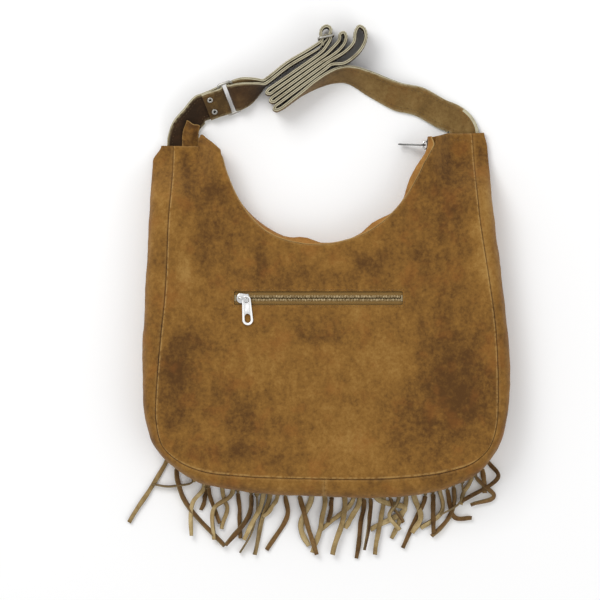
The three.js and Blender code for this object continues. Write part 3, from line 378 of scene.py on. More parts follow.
class Finishes:
    """Every material of the bag, made once."""

    def __init__(self) -> None:
        """Makes the materials."""
        self.suede = Suede(
            "suede", (0.236, 0.113, 0.0215), (0.088, 0.038, 0.0085), (0.36, 0.2, 0.052), (0.4, 0.24, 0.08),
            (0.25, 0.092, 0.017)).make()
        self.facing = Suede(
            "facing_suede", (0.31, 0.145, 0.034), (0.17, 0.075, 0.016), (0.44, 0.24, 0.068),
            (0.5, 0.28, 0.085), (0.36, 0.13, 0.025)).make()
        self.strap = Suede(
            "strap_suede", (0.165, 0.095, 0.028), (0.068, 0.038, 0.012), (0.25, 0.16, 0.055),
            (0.33, 0.26, 0.14), (0.19, 0.085, 0.02), 0.03, 0.0014, 0.0004).make()
        # The strap's other side: a darker brown of its own, made darker still as painted shade for the insides
        # of its loops and folds.
        self.strap_back_shaded = Suede(
            "strap_back_with_painted_shade", (0.062, 0.032, 0.012), (0.026, 0.013, 0.005), (0.11, 0.062, 0.024),
            (0.3, 0.24, 0.13), (0.07, 0.03, 0.01), 0.03, 0.0014, 0.0004).make()
        self.strap_edge = RawEdge("strap_raw_edge", (0.47, 0.43, 0.3), (0.2, 0.16, 0.09)).make()
        self.strap_core = RawEdge("strap_glue_line", (0.09, 0.07, 0.04), (0.04, 0.03, 0.017)).make()
        self.edge = RawEdge("suede_raw_edge", (0.4, 0.25, 0.09), (0.24, 0.12, 0.035)).make()
        self.flesh = Suede(
            "fringe_flesh_side", (0.4, 0.29, 0.13), (0.2, 0.13, 0.05), (0.6, 0.48, 0.26), (0.6, 0.45, 0.22),
            (0.34, 0.21, 0.08), 0.02, 0.0012, 0.0004).make()
        self.grain = Suede(
            "fringe_grain_side", (0.165, 0.09, 0.031), (0.065, 0.033, 0.012), (0.28, 0.175, 0.07),
            (0.4, 0.26, 0.11), (0.19, 0.087, 0.026), 0.02, 0.0012, 0.0004).make()
        # Raw edges of the fringe strips: their own brown, painted darker as shade along the edges and between
        # the strips.
        self.fringe_edge_shaded = RawEdge("fringe_raw_edge_painted_shade", (0.2, 0.145, 0.07), (0.06, 0.038, 0.016)).make()
        self.nickel = Plated("nickel", (0.78, 0.78, 0.77), (0.5, 0.5, 0.49), 0.2).make()
        self.dull_metal = Plated("dull_nickel", (0.4, 0.385, 0.35), (0.2, 0.19, 0.17), 0.34).make()
        # Pale nickel of the pocket pull, near white and hardly metallic: a painted glint standing in for its
        # reflection of the lights.
        self.glint_white_nickel = Plated("nickel_painted_glint", (0.95, 0.95, 0.94), (0.78, 0.78, 0.77), 0.34, 0.3).make()
        self.grey_metal = Plated("grey_metal", (0.17, 0.17, 0.165), (0.08, 0.08, 0.08), 0.3).make()
        self.tack = Plated("zip_stop", (0.34, 0.27, 0.16), (0.2, 0.15, 0.08), 0.5).make()
        # Dark metal of the mouth slider, also used as painted shade inside the eyelets' bores.
        self.dark_metal = Plated("dark_metal", (0.11, 0.1, 0.085), (0.05, 0.045, 0.04), 0.38).make()
        self.tape = Woven("zip_tape", (0.27, 0.15, 0.032), (0.14, 0.076, 0.016), 0.0007).make()
        self.lining = Woven("cotton_lining", (0.17, 0.085, 0.032), (0.1, 0.05, 0.018), 0.0009).make()
        self.teeth = Moulded("zip_teeth", (0.56, 0.43, 0.23), (0.24, 0.16, 0.06), 0.4).make()
        self.thread = Moulded("sewing_thread", (0.34, 0.19, 0.06), (0.2, 0.1, 0.03), 0.8).make()
        self.strap_thread = Moulded("strap_thread", (0.12, 0.075, 0.03), (0.07, 0.04, 0.015), 0.8).make()


# Meshes


def mesh_object(name: str, verts: Grid, faces: Iterable[Sequence[int]],
                materials: Sequence[bpy.types.Material],
                face_slots: Sequence[int] | None = None) -> bpy.types.Object:
    """Makes a smooth-shaded object.

    Args:
        name: the piece's name.
        verts: places in millimetres, shape (n, 3).
        faces: vertex numbers of each face.
        materials: the piece's materials.
        face_slots: material number of each face, or None for all 0.

    Returns:
        The object, linked to the scene.
    """
    mesh = bpy.data.meshes.new(name)
    mesh.from_pydata((np.asarray(verts) * MM).tolist(), [], [list(f) for f in faces])
    for material in materials:
        mesh.materials.append(material)
    if face_slots is not None:
        mesh.polygons.foreach_set("material_index", np.asarray(face_slots, np.int32))
    mesh.polygons.foreach_set("use_smooth", np.full(len(mesh.polygons), True))
    obj = bpy.data.objects.new(name, mesh)
    bpy.context.scene.collection.objects.link(obj)
    return obj


def face_out(obj: bpy.types.Object) -> None:
    """Turns the faces of a closed mesh outwards."""
    work = bmesh.new()
    work.from_mesh(obj.data)
    bmesh.ops.recalc_face_normals(work, faces=work.faces)
    if work.calc_volume(signed=True) < 0:
        bmesh.ops.reverse_faces(work, faces=work.faces)
    work.to_mesh(obj.data)
    work.free()


def store(obj: bpy.types.Object, name: str, values: Grid) -> None:
    """Stores one number a vertex on the mesh, for its material to read."""
    layer = obj.data.attributes.new(name, "FLOAT", "POINT")
    layer.data.foreach_set("value", np.asarray(values, np.float32).ravel())


def grid_faces(n: int, m: int) -> tuple[Grid, Grid]:
    """Faces between two grids of n by m vertices.

    Args:
        n: rows of each grid.
        m: columns of each grid.

    Returns:
        The first grid's faces, and those of the rim that joins it to the second.
    """
    ids = np.arange(n * m).reshape(n, m)
    quads = np.stack([ids[:-1, :-1], ids[1:, :-1], ids[1:, 1:], ids[:-1, 1:]], -1).reshape(-1, 4)
    ring = np.concatenate([ids[:-1, 0], ids[-1, :-1], ids[:0:-1, -1], ids[0, :0:-1]])
    after = np.roll(ring, -1)
    return quads, np.stack([after, ring, ring + n * m, after + n * m], -1)


def shell(name: str, outer: Grid, inner: Grid, materials: Sequence[bpy.types.Material],
          rim_slot: int = 0, inner_slot: int = 0, marks: dict[str, Grid] | None = None) -> bpy.types.Object:
    """A closed sheet between two grids of places.

    Args:
        name: the piece's name.
        outer: outer places, shape (n, m, 3), in millimetres.
        inner: inner places, of the same shape.
        materials: the piece's materials; the first is the outer face's.
        rim_slot: material number of the edge all round.
        inner_slot: material number of the inner face.
        marks: numbers to store on the vertices, each of shape (n, m).

    Returns:
        The object.
    """
    n, m = outer.shape[:2]
    quads, rim = grid_faces(n, m)
    faces = np.concatenate([quads, quads[:, ::-1] + n * m, rim])
    slots = np.repeat([0, inner_slot, rim_slot], [len(quads), len(quads), len(rim)])
    verts = np.concatenate([outer.reshape(-1, 3), inner.reshape(-1, 3)])
    obj = mesh_object(name, verts, faces.tolist(), materials, slots)
    face_out(obj)
    for key, values in (marks or {}).items():
        store(obj, key, np.concatenate([values.ravel(), values.ravel()]))
    return obj


def sweep(places: Grid, across: Grid, out: Grid, section: Grid) -> Grid:
    """Rings (n, k, 3) of a section's (across, out) offsets, (k, 2) or (n, k, 2), carried along a path."""
    section = np.broadcast_to(section, (len(places), *np.shape(section)[-2:]))
    return places[:, None] + across[:, None] * section[..., :1] + out[:, None] * section[..., 1:]


def tube_mesh(name: str, rings: Grid, materials: Sequence[bpy.types.Material], slots: Sequence[int],
              closed: bool = False) -> bpy.types.Object:
    """Joins rings into one closed body.

    Args:
        name: the piece's name.
        rings: places of shape (n, k, 3).
        materials: the piece's materials.
        slots: material number of each of the k sides.
        closed: whether the last ring joins the first, instead of both being capped.

    Returns:
        The object.
    """
    n, k = rings.shape[:2]
    rows = range(0, (n if closed else n - 1) * k, k)
    ahead = lambda a: (a + k) % (n * k)
    faces = [(a + j, a + (j + 1) % k, ahead(a) + (j + 1) % k, ahead(a) + j) for a in rows for j in range(k)]
    marks = list(slots) * len(rows)
    if not closed:
        faces += [tuple(range(k))[::-1], tuple((n - 1) * k + j for j in range(k))]
        marks += [slots[-1], slots[-1]]
    obj = mesh_object(name, rings.reshape(-1, 3), faces, materials, marks)
    face_out(obj)
    return obj


def wire(name: str, points: Sequence[Sequence[float]], radius: float, material: bpy.types.Material,
         closed: bool, sides: int = 12) -> bpy.types.Object:
    """A round wire through points, as a mesh.

    Args:
        name: the piece's name.
        points: places in millimetres.
        radius: of the wire, in millimetres.
        material: its material.
        closed: whether it is a loop.
        sides: of its section.

    Returns:
        The object.
    """
    p = np.asarray(points, float)
    along = unit(np.roll(p, -1, 0) - np.roll(p, 1, 0) if closed else np.gradient(p, axis=0))
    normal = np.linalg.svd(p - p.mean(0))[2][-1]
    side = unit(np.cross(along, normal))
    turn = np.linspace(0, math.tau, sides, endpoint=False)
    section = np.stack([radius * np.cos(turn), radius * np.sin(turn)], -1)
    rings = sweep(p, side, np.broadcast_to(unit(normal), p.shape), section)
    return tube_mesh(name, rings, [material], [0] * sides, closed)


def rounded_loop(length: float, width: float, corner: float, parts: int = 6) -> Grid:
    """Points round a rectangle with round corners, in its own plane."""
    spots = []
    for cx, cy, first in ((1, 1, 0), (-1, 1, 90), (-1, -1, 180), (1, -1, 270)):
        for i in range(parts + 1):
            angle = math.radians(first + 90 * i / parts)
            x = cx * (length / 2 - corner) + corner * math.cos(angle)
            y = cy * (width / 2 - corner) + corner * math.sin(angle)
            spots.append((x, y, 0.0))
    return np.array(spots)


def placed(points: Grid, x: Sequence[float], y: Sequence[float], z: Sequence[float],
           at: Sequence[float]) -> Grid:
    """Points of a local frame, given its axes and origin, in the frame of the bag."""
    return np.asarray(points) @ np.array([x, y, z], float) + np.asarray(at, float)


def pick(objects: Sequence[bpy.types.Object]) -> None:
    """Selects these objects alone, with the first one active."""
    bpy.ops.object.select_all(action="DESELECT")
    for obj in objects:
        obj.select_set(True)
    bpy.context.view_layer.objects.active = objects[0]


def join(name: str, parts: Sequence[bpy.types.Object]) -> bpy.types.Object:
    """Joins objects into one piece, materials kept."""
    pick(parts)
    bpy.ops.object.join()
    parts[0].name = parts[0].data.name = name
    return parts[0]


def apply_modifier(obj: bpy.types.Object, kind: str, **settings: object) -> None:
    """Adds a modifier and applies it at once."""
    pick([obj])
    modifier = obj.modifiers.new(kind.lower(), kind)
    for key, value in settings.items():
        setattr(modifier, key, value)
    bpy.ops.object.modifier_apply(modifier=modifier.name)


def cut_out(obj: bpy.types.Object, tool: bpy.types.Object) -> None:
    """Cuts a tool's shape out of a piece and removes the tool."""
    apply_modifier(obj, "BOOLEAN", object=tool, operation="DIFFERENCE", solver="EXACT")
    bpy.data.objects.remove(tool)


def settle(obj: bpy.types.Object, place: Matrix) -> bpy.types.Object:
    """Moves a piece made at the origin to its place in the mesh, and leaves its object unturned."""
    obj.data.transform(place)
    obj.matrix_world = Matrix.Identity(4)
    return obj


def stitches(name: str, middles: Grid, along: Grid, length: float, radius: float,
             material: bpy.types.Material) -> bpy.types.Object:
    """Sewn stitches, each a small spindle.

    Args:
        name: the piece's name.
        middles: their middles, shape (n, 3).
        along: their directions.
        length: of each.
        radius: of each.
        material: of the thread.

    Returns:
        One object with all of them.
    """
    along = unit(along)
    side = unit(np.cross(along, np.where(np.abs(along[:, 2:]) > 0.9, (1, 0, 0), UP)))
    up = np.cross(side, along)
    points = [middles - along * length / 2]
    points += [middles + side * radius, middles + up * radius, middles - side * radius, middles - up * radius]
    points += [middles + along * length / 2]
    verts = np.stack(points, 1)
    pattern = [(0, 2, 1), (0, 3, 2), (0, 4, 3), (0, 1, 4), (5, 1, 2), (5, 2, 3), (5, 3, 4), (5, 4, 1)]
    faces = [(a + 6 * i, b + 6 * i, c + 6 * i) for i in range(len(verts)) for a, b, c in pattern]
    return mesh_object(name, verts.reshape(-1, 3), faces, [material])


def length_along(points: Grid) -> Grid:
    """Distance along a line of points, from its first."""
    return np.concatenate([[0], np.cumsum(np.linalg.norm(np.diff(points, axis=0), axis=1))])


def resample(points: Grid, pitch: float, reach: float = 0.4) -> tuple[Grid, Grid]:
    """Places at an even pitch along a line of points, with the ways from just behind to just ahead."""
    run = length_along(points)
    at = np.arange(pitch / 2, run[-1], pitch)
    spots, ahead, behind = (
        np.stack([np.interp(at + off, run, points[:, k]) for k in range(3)], -1)
        for off in (0, reach, -reach))
    return spots, ahead - behind


def declare(piece: bpy.types.Object, node: str | None, slot: str, body: str = BAG,
            **cut: object) -> bpy.types.Object:
    """Hides the frame's node that a piece stands for, if any, and hangs the piece on its body's empty.

    Args:
        piece: the piece.
        node: the frame's node that it stands for, if any.
        slot: not used.
        body: the body that it rides on.
        cut: not used.

    Returns:
        The piece.
    """
    if node:
        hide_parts(node)
    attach(piece, body)
    return piece


# Shape of the body


@dataclass
class Body:
    """The body's outline and heights, which panels, gussets, linings and mouth share. Millimetres."""

    width: float = 358
    height: float = 350
    middle_x: float = 9
    bottom_y: float = -195.3
    side_height: float = 44
    middle_height: float = 34
    suede: float = 1.4
    gap: float = 0.3
    slack_reach: float = 60
    tab_height: float = 9.2
    tab_drop: float = 65
    tab_start: float = -5
    tab_blend: float = 32
    strap_in_fold: float = 7
    tab_bulge: float = 13
    mouth_x: float = 5.8
    mouth_y: float = 160.1
    mouth_radius: float = 109.2
    mouth_edge: float = 113.2
    mouth_first: float = -175
    mouth_last: float = 2
    strap_width: float = 31
    front_lift: float = 1.9
    header_y: float = -140
    roll: float = 1.6
    drop: float = 240
    shares: tuple[tuple[float, float], ...] = (
        (-0.904, 1.0), (-0.909, 0.895), (-0.927, 0.775), (-0.945, 0.565), (-0.974, 0.415), (-0.998, 0.263),
        (-1.0, 0.175), (-0.963, 0.1), (-0.863, 0.051), (-0.716, 0.021), (-0.47, 0.007), (-0.04, 0),
        (0.369, 0.001), (0.663, 0.017), (0.85, 0.047), (0.941, 0.089), (0.988, 0.151), (1.0, 0.281),
        (0.985, 0.455), (0.944, 0.611), (0.891, 0.791), (0.868, 0.941), (0.856, 1.038))
    corner_left: int = 7
    corner_right: int = 15
    bulges: tuple[float, ...] = (
        21, 22, 21, 22, 20, 14.6, 11.5, 7, 7.6, 13, 17.6, 19, 21.6, 18.8, 12.4, 8.4, 9.8, 14.3, 12.7, 14.1,
        15.8, 15.4, 15.4)
    gusset_top: float = 16
    sag: tuple[tuple[float, float], ...] = (
        (-175, 3.4), (-168, 5), (-157, 5.3), (-147, 4.2), (-134, 1), (-122, -1), (-115, -0.5), (-104, 1.5),
        (-90, 3.5), (-78, 5), (-66, 6), (-57, 7), (-49, 7.6), (-40, 8.2), (-30, 8.4), (-23, 8), (-14, 5.8),
        (-8, 1.5), (-3, -3), (2, -6))
    shoulder: tuple[tuple[float, float], ...] = (
        (-126.4, 161.5), (-123.2, 166.6), (-117.5, 162.4), (-111, 157.5))
    creases: tuple[tuple[float, float, float, float, float, float], ...] = (
        (-148, 40, -96, -18, -1.3, 7), (-160, 62, -118, 30, 1.0, 9), (-150, -12, -104, -24, -0.9, 8),
        (-163, -96, -122, -70, -1.4, 9), (-158, -128, -96, -134, -1.2, 8), (-146, -160, -70, -166, 1.0, 9),
        (-60, 44, -64, 18, -0.8, 6), (44, 38, 30, 14, 0.9, 7), (110, 60, 60, 20, 0.9, 12),
        (98, -28, 64, -52, 0.8, 9), (-22, -36, 0, -96, 0.55, 3), (33, -74, 26, -160, 0.5, 3),
        (168, -60, 120, -96, -1.2, 12), (176, -110, 120, -130, 1.0, 12), (150, 96, 168, 20, -1.1, 8),
        (-20, -150, 60, -158, -0.8, 10), (-120, 90, -146, 40, 1.1, 8), (8, -30, 22, -58, -0.7, 5))
    nap_patches: tuple[tuple[float, float, float, float, float], ...] = (
        (-150, -82, 17, 26, -0.8), (-134, -52, 22, 12, -0.5), (-106, -168, 50, 11, -0.7),
        (-150, -128, 14, 22, -0.5), (134, -122, 48, 48, -0.75), (150, -70, 32, 40, -0.5),
        (6, -44, 30, 12, -0.6), (-58, 40, 7, 22, -0.6), (50, 32, 13, 9, -0.6), (-110, 108, 15, 20, -0.45),
        (-138, 26, 12, 26, 0.75), (84, -76, 30, 22, 0.5), (40, -160, 26, 14, 0.55), (-28, -96, 44, 26, 0.3),
        (-20, 14, 60, 13, -0.35), (110, 20, 34, 26, -0.4), (-90, -112, 40, 20, -0.4),
        (128, 108, 36, 60, -0.5), (128, -40, 50, 60, -0.3), (-124, 60, 11, 70, -0.5),
        (-139, 132, 6, 26, -0.8), (-90, 60, 30, 40, -0.25), (178, 60, 12, 60, 0.9),
        (-60, -140, 44, 14, -0.3), (60, -16, 60, 10, 0.25))

    def __post_init__(self) -> None:
        """Works out the seam curve and where its corners are."""
        side = self.width / 2
        pts = [(self.middle_x + a * side, self.bottom_y + b * self.height, 0.0) for a, b in self.shares]
        self.seam_curve = SmoothCurve(pts)
        self.seam_t = np.linspace(0, len(pts) - 1, 900)
        line = self.seam_curve.at(self.seam_t)[0]
        run = length_along(line)
        self.seam_run = run / run[-1]
        self.seam_length = float(run[-1])
        self.share_left = float(np.interp(self.corner_left, self.seam_t, self.seam_run))
        self.share_right = float(np.interp(self.corner_right, self.seam_t, self.seam_run))
        self.top_left = np.array(pts[0])
        self.top_right = np.array(pts[-1])
        half = self.strap_width / 2
        self.left_strap_x = self.top_left[0] - self.strap_in_fold + half
        self.right_strap_x = self.top_right[0] + self.strap_in_fold - half
        self.left_tab_end = np.array([self.left_strap_x + half + 2, self.top_left[1], 0])
        self.right_tab_end = np.array([self.right_strap_x - half - 2, self.top_right[1], 0])

    def seam(self, share: Grid) -> tuple[Grid, Grid]:
        """Places on the seam by share of its length, and the directions out of the bag there."""
        t = np.interp(np.clip(share, 0, 1), self.seam_run, self.seam_t)
        place, along = self.seam_curve.at(t)
        out = np.stack([along[..., 1], -along[..., 0], np.zeros_like(along[..., 0])], -1)
        return place, unit(out)

    def gusset_bulge(self, share: Grid, y: Grid) -> Grid:
        """How far the gusset stands out past the seam, by share of the seam's length."""
        station = np.interp(share, self.seam_run, self.seam_t)
        free = read_table(tuple(enumerate(self.bulges)), station, 0.12)
        top = np.where(share < 0.5, self.top_left[1], self.top_right[1])
        return lerp(free, self.tab_bulge, smooth(y - top, -self.gusset_top, 0))

    def mouth_sag(self, degrees: Grid) -> Grid:
        """How far the back panel's edge hangs in over the mouth's zip."""
        return read_table(self.sag, degrees, 0.2)

    def around_mouth(self, radius: Grid, degrees: Grid, z: Grid = 0.0) -> Grid:
        """Places round the mouth's centre."""
        angle = np.radians(degrees)
        x = self.mouth_x + radius * np.cos(angle)
        y = self.mouth_y + radius * np.sin(angle)
        return np.stack(np.broadcast_arrays(x, y, np.asarray(z, float)), -1)

    def top_edge(self, step: Grid, back: bool = False) -> Grid:
        """The panels' top edge: tab, shoulder, mouth, shoulder and tab over steps 0 to 24.

        Args:
            step: places along it.
            back: whether it is the back panel's, which hangs in over the zip.

        Returns:
            The places.
        """
        degrees = lerp(self.mouth_first, self.mouth_last, np.clip((step - 3) / 18, 0, 1))
        arc = self.around_mouth(self.mouth_edge - (self.mouth_sag(degrees) if back else 0), degrees)
        left = lerp(self.top_left, self.left_tab_end, np.clip(step / 2, 0, 1)[..., None])
        right = lerp(self.top_right, self.right_tab_end, np.clip((24 - step) / 2, 0, 1)[..., None])
        near_left = np.clip(step - 2, 0, 1)[..., None]
        near_right = np.clip(22 - step, 0, 1)[..., None]
        edge = lerp(left, arc, near_left)
        return np.where((step > 12)[..., None], lerp(right, arc, near_right), edge)

    def from_seam(self, u: Grid, v: Grid) -> Grid:
        """About how far a place is from the seam, by its shares across and down."""
        return np.minimum(np.minimum(u, 1 - u) * self.width, (1 - v) * self.height * 0.8)

    def across_share(self, step: Grid) -> Grid:
        """Share of the way across the body at a step."""
        return np.interp(step, [0, 3, 21, 24], [0, 0.17, 0.83, 1])

    def panel(self, step: Grid, v: Grid, back: bool = False) -> tuple[Grid, Grid]:
        """Places in plan.

        Args:
            step: 0 at the left seam to 24 at the right one.
            v: 0 at the top edge to 1 at the bottom seam.
            back: whether it is the back panel, whose top edge hangs over the zip.

        Returns:
            The places, and each one's share across.
        """
        step, v = np.broadcast_arrays(step, v)
        u = self.across_share(step)
        uu, vv = u[..., None], v[..., None]
        left_end, right_end = self.seam(self.share_left)[0], self.seam(self.share_right)[0]
        top = self.top_edge(step, back)
        bottom = self.seam(lerp(self.share_left, self.share_right, u))[0]
        left = self.seam(self.share_left * v)[0]
        right = self.seam(1 - (1 - self.share_right) * v)[0]
        spot = top * (1 - vv) + bottom * vv + left * (1 - uu) + right * uu
        spot -= self.top_left * (1 - uu) * (1 - vv) + self.top_right * uu * (1 - vv)
        spot = spot - left_end * (1 - uu) * vv - right_end * uu * vv
        if back:
            start = self.top_edge(np.array(3.0), True)
            points = [self.left_tab_end, *[(x, y, 0) for x, y in self.shoulder], start]
            share = np.clip(step - 2, 0, 1)
            straight = lerp(self.left_tab_end, start, share[..., None])
            raised = SmoothCurve(points).at(share * (len(points) - 1))[0] - straight
            near = np.exp(-((v * self.drop / 26) ** 2))
            spot = spot + raised * np.where((step > 2) & (step < 3.0), near, 0)[..., None]
        return spot, u

    def tabness(self, spot: Grid) -> Grid:
        """How far a place belongs to a tab."""
        up = smooth(spot[..., 1], self.top_left[1] - self.tab_drop, self.top_left[1] - 5)
        first = self.mouth_edge + self.tab_start
        return up * smooth(np.abs(spot[..., 0] - self.mouth_x), first, first + self.tab_blend)

    def back_height(self, spot: Grid, u: Grid, v: Grid) -> Grid:
        """Height of the back panel's face."""
        side = np.minimum(u, 1 - u) * self.width
        slack = smooth(side, 0, self.slack_reach) * smooth((1 - v) * self.height * 0.75, 0, self.slack_reach)
        full = lerp(self.side_height, self.middle_height, slack)
        return lerp(full, self.tab_height, self.tabness(spot))

    def front_height(self, spot: Grid) -> Grid:
        """Height of the front panel's face, raised over the fringe's header."""
        return self.front_lift * (1 - smooth(spot[..., 1], self.header_y + 16, self.header_y + 52))

    def mouth_top(self, degrees: Grid) -> Grid:
        """Height of the back panel at the mouth's edge."""
        edge = self.around_mouth(self.mouth_edge, degrees)
        return self.back_height(edge, np.full_like(degrees, 0.5), 0 * degrees)

    def crease_height(self, spot: Grid) -> Grid:
        """Height added by the creases and folds of the back panel."""
        total = np.zeros(spot.shape[:-1])
        for x0, y0, x1, y1, depth, wide in self.creases:
            ax, ay = x1 - x0, y1 - y0
            t = np.clip(((spot[..., 0] - x0) * ax + (spot[..., 1] - y0) * ay) / (ax * ax + ay * ay), 0, 1)
            away = np.hypot(spot[..., 0] - x0 - t * ax, spot[..., 1] - y0 - t * ay)
            total += depth * np.exp(-((away / wide) ** 2)) * np.sin(np.pi * np.clip(t, 0.06, 0.94)) ** 0.6
        return total

    def nap(self, spot: Grid) -> Grid:
        """How the nap lies, from about -1 where it looks dark to 1 where it looks light."""
        bent = spot + soft_noise(spot, 26, 3.0)[..., None] * 9
        total = np.zeros(spot.shape[:-1])
        for x, y, rx, ry, strength in self.nap_patches:
            far = ((bent[..., 0] - x) / rx) ** 2 + ((bent[..., 1] - y) / ry) ** 2
            total += strength * np.exp(-far)
        return total


@dataclass
class Shell:
    """The suede body: two panels, two gusset halves and the suede end of the mouth zip."""

    body: Body
    finishes: Finishes
    window_length: float = 177
    window_height: float = 14.4
    pocket_y: float = -6
    fullness: float = 2.6
    bottom_gap: float = 0.1
    seam_gap: float = 0.08
    stitch_pitch: float = 3.4

    def roll_down(self, away: Grid, radius: float) -> Grid:
        """How far a turned edge drops, by distance from it."""
        inside = np.clip(radius - away, 0, radius)
        return radius - np.sqrt(np.maximum(radius**2 - inside**2, 0))

    def suede_piece(self, name: str, outer: Grid, inner: Grid, marks: dict[str, Grid]) -> bpy.types.Object:
        """A closed suede sheet with raw edges."""
        return shell(name, outer, inner, [self.finishes.suede, self.finishes.edge], 1, 0, marks)

    def panel_grid(self, fine: bool) -> tuple[Grid, Grid]:
        """Steps across and down, close together along the seams."""
        k = 1 if fine else 0.5
        n = lambda count: max(2, int(count * k))
        step = spread((0, 0.16, n(10)), (0.16, 2, n(14)), (2, 3, n(16)), (3, 21, n(130)), (21, 23.84, n(20)),
                      (23.84, 24, n(10)))
        v = spread((0, 0.012, n(5)), (0.012, 0.985, n(120)), (0.985, 1, n(10)))
        return np.meshgrid(step, v, indexing="ij")

    def build_back(self) -> bpy.types.Object:
        """Back panel with its creases, turned edges and the cut window of the pocket."""
        b = self.body
        step, v = self.panel_grid(True)
        spot, u = b.panel(step, v, True)
        z = b.back_height(spot, u, v)
        away = b.from_seam(u, v)
        calm = np.exp(-((np.abs(spot[..., 1] - self.pocket_y) / 14) ** 4) - (np.abs(spot[..., 0]) / 100) ** 6)
        free = (1 - 0.9 * calm) * (1 - b.tabness(spot))
        z += b.crease_height(spot) * free
        z += soft_noise(spot, 46, 1.0) * 1.5 * free * smooth(away, 0, 24)
        z += soft_noise(spot, 15, 2.0) * 0.45 * free
        z += soft_noise(spot, 7.5, 5.0) * np.exp(-away / 7) * 0.9 * (1 - b.tabness(spot))
        z -= self.roll_down(away, b.roll) * (1 - 0.6 * b.tabness(spot))
        z -= self.roll_down(v * b.drop, 1.3) * 0.8
        outer = np.concatenate([spot[..., :2], z[..., None]], -1)
        inner = outer - b.suede * UP
        # Pale lip along the seam and along the top edge: partly wear, partly painted highlight.
        wear_and_edge_highlight = np.exp(-(((away - 1.6) / 1.1) ** 2)) * 0.75 + np.exp(-((v * b.drop) / 1.2) ** 2) * 0.35
        marks = {"nap": b.nap(spot), "wear_and_edge_highlight": wear_and_edge_highlight}
        panel = self.suede_piece("back_panel_suede", outer, inner, marks)
        self.cut_window(panel)
        return panel

    def cut_window(self, panel: bpy.types.Object) -> None:
        """Cuts the pocket's window through the panel."""
        bpy.ops.object.select_all(action="DESELECT")
        middle = (0, self.pocket_y * MM, self.body.middle_height * MM)
        bpy.ops.mesh.primitive_cube_add(size=1, location=middle)
        cutter = bpy.context.object
        cutter.scale = (self.window_length * MM, self.window_height * MM, 0.02)
        bpy.ops.object.transform_apply(location=False, rotation=False, scale=True)
        apply_modifier(cutter, "BEVEL", width=0.0016, segments=3, limit_method="ANGLE")
        cut_out(panel, cutter)

    def build_front(self) -> bpy.types.Object:
        """Front panel, which lies on the floor."""
        b = self.body
        step, v = self.panel_grid(False)
        spot, u = b.panel(step, v)
        low = b.front_height(spot)
        loose = smooth(spot[..., 1], b.header_y + 30, b.header_y + 70) * (1 - b.tabness(spot))
        away = b.from_seam(u, v)
        low = low + (soft_noise(spot, 40, 8.0) + 1) * 0.35 * loose + self.roll_down(away, b.roll) * 0.5
        outer = np.concatenate([spot[..., :2], low[..., None]], -1)
        inner = outer + b.suede * UP
        # Pale lip along the seam: partly wear, partly painted highlight.
        wear_and_edge_highlight = np.exp(-(((away - 1.6) / 1.4) ** 2)) * 0.7
        marks = {"nap": b.nap(spot * np.array([-1, 1, 1])), "wear_and_edge_highlight": wear_and_edge_highlight}
        return self.suede_piece("front_panel_suede", outer, inner, marks)

    def build_gusset(self, side: int) -> bpy.types.Object:
        """One half of the gusset, from its tab to the seam at the bottom.

        Args:
            side: -1 for the left half, 1 for the right one.

        Returns:
            The piece.
        """
        b = self.body
        middle = lerp(b.share_left, b.share_right, 0.5)
        first = 0.0 if side < 0 else 1.0
        share = lerp(first, middle, spread((0, 0.98, 220), (0.98, 1, 8)))
        turn = np.radians(spread((-90, -80, 6), (-80, 80, 34), (80, 90, 6)))
        place, out = b.seam(share)
        high = b.back_height(place, np.zeros(len(share)), np.full(len(share), 0.5))
        low = b.front_height(place)
        tab = b.tabness(place)
        bulge = b.gusset_bulge(share, place[:, 1])
        power = 2 / self.fullness

        def surface(inset: float) -> Grid:
            """The bulging face, or the one an inset behind it."""
            half = (high - low) / 2 - inset
            away = np.clip(np.cos(turn), 0, 1)[None] ** power * (bulge - inset)[:, None]
            rise = half[:, None] * np.sign(turn)[None] * np.abs(np.sin(turn))[None] ** power
            z = ((high + low) / 2)[:, None] + rise
            base = place[:, None] + out[:, None] * (self.seam_gap + away)[..., None]
            base[..., 2] = z
            return base

        outer = surface(0.0)
        lump = soft_noise(outer, 34, 11.0) * 1.2 + soft_noise(outer, 11, 12.0) * 0.5
        free = np.clip(np.cos(turn), 0, 1)[None] ** 0.5 * (1 - 0.8 * tab[:, None])
        down = smooth(outer[..., 2], 2.0, 9.0)
        shift = out[:, None] * (lump * free)[..., None]
        edge_away = np.clip(np.cos(turn), 0, 1)[None] ** power * bulge[:, None]
        roll = self.roll_down(edge_away, b.roll) * (1 - 0.6 * tab[:, None])
        roll *= 1 + 0.25 * soft_noise(outer, 8, 4.0)
        sign = np.where(turn > 0, -1.0, 0.45)[None]
        ends = smooth(np.linspace(0, 1, len(share)), 0.985, 1.0)[:, None]
        lift = np.zeros_like(outer)
        lift[..., 0] = side * self.bottom_gap / 2 * (ends > 0.01)
        lift[..., 2] = roll * sign + soft_noise(outer, 22, 14.0) * 0.7 * free * down
        inner = surface(b.suede) + shift + lift
        outer = outer + shift + lift
        # Pale upper lip and pale ends: partly wear, partly painted highlight.
        wear_and_edge_highlight = np.exp(-(((edge_away - 1.4) / 1.1) ** 2)) * 0.2 * (turn > 0)[None] + ends * 0.5
        marks = {"nap": b.nap(outer) * 0.8 + soft_noise(outer, 30, 9.0) * 0.5, "wear_and_edge_highlight": wear_and_edge_highlight}
        name = "gusset_left_suede" if side < 0 else "gusset_right_suede"
        return self.suede_piece(name, outer, inner, marks)

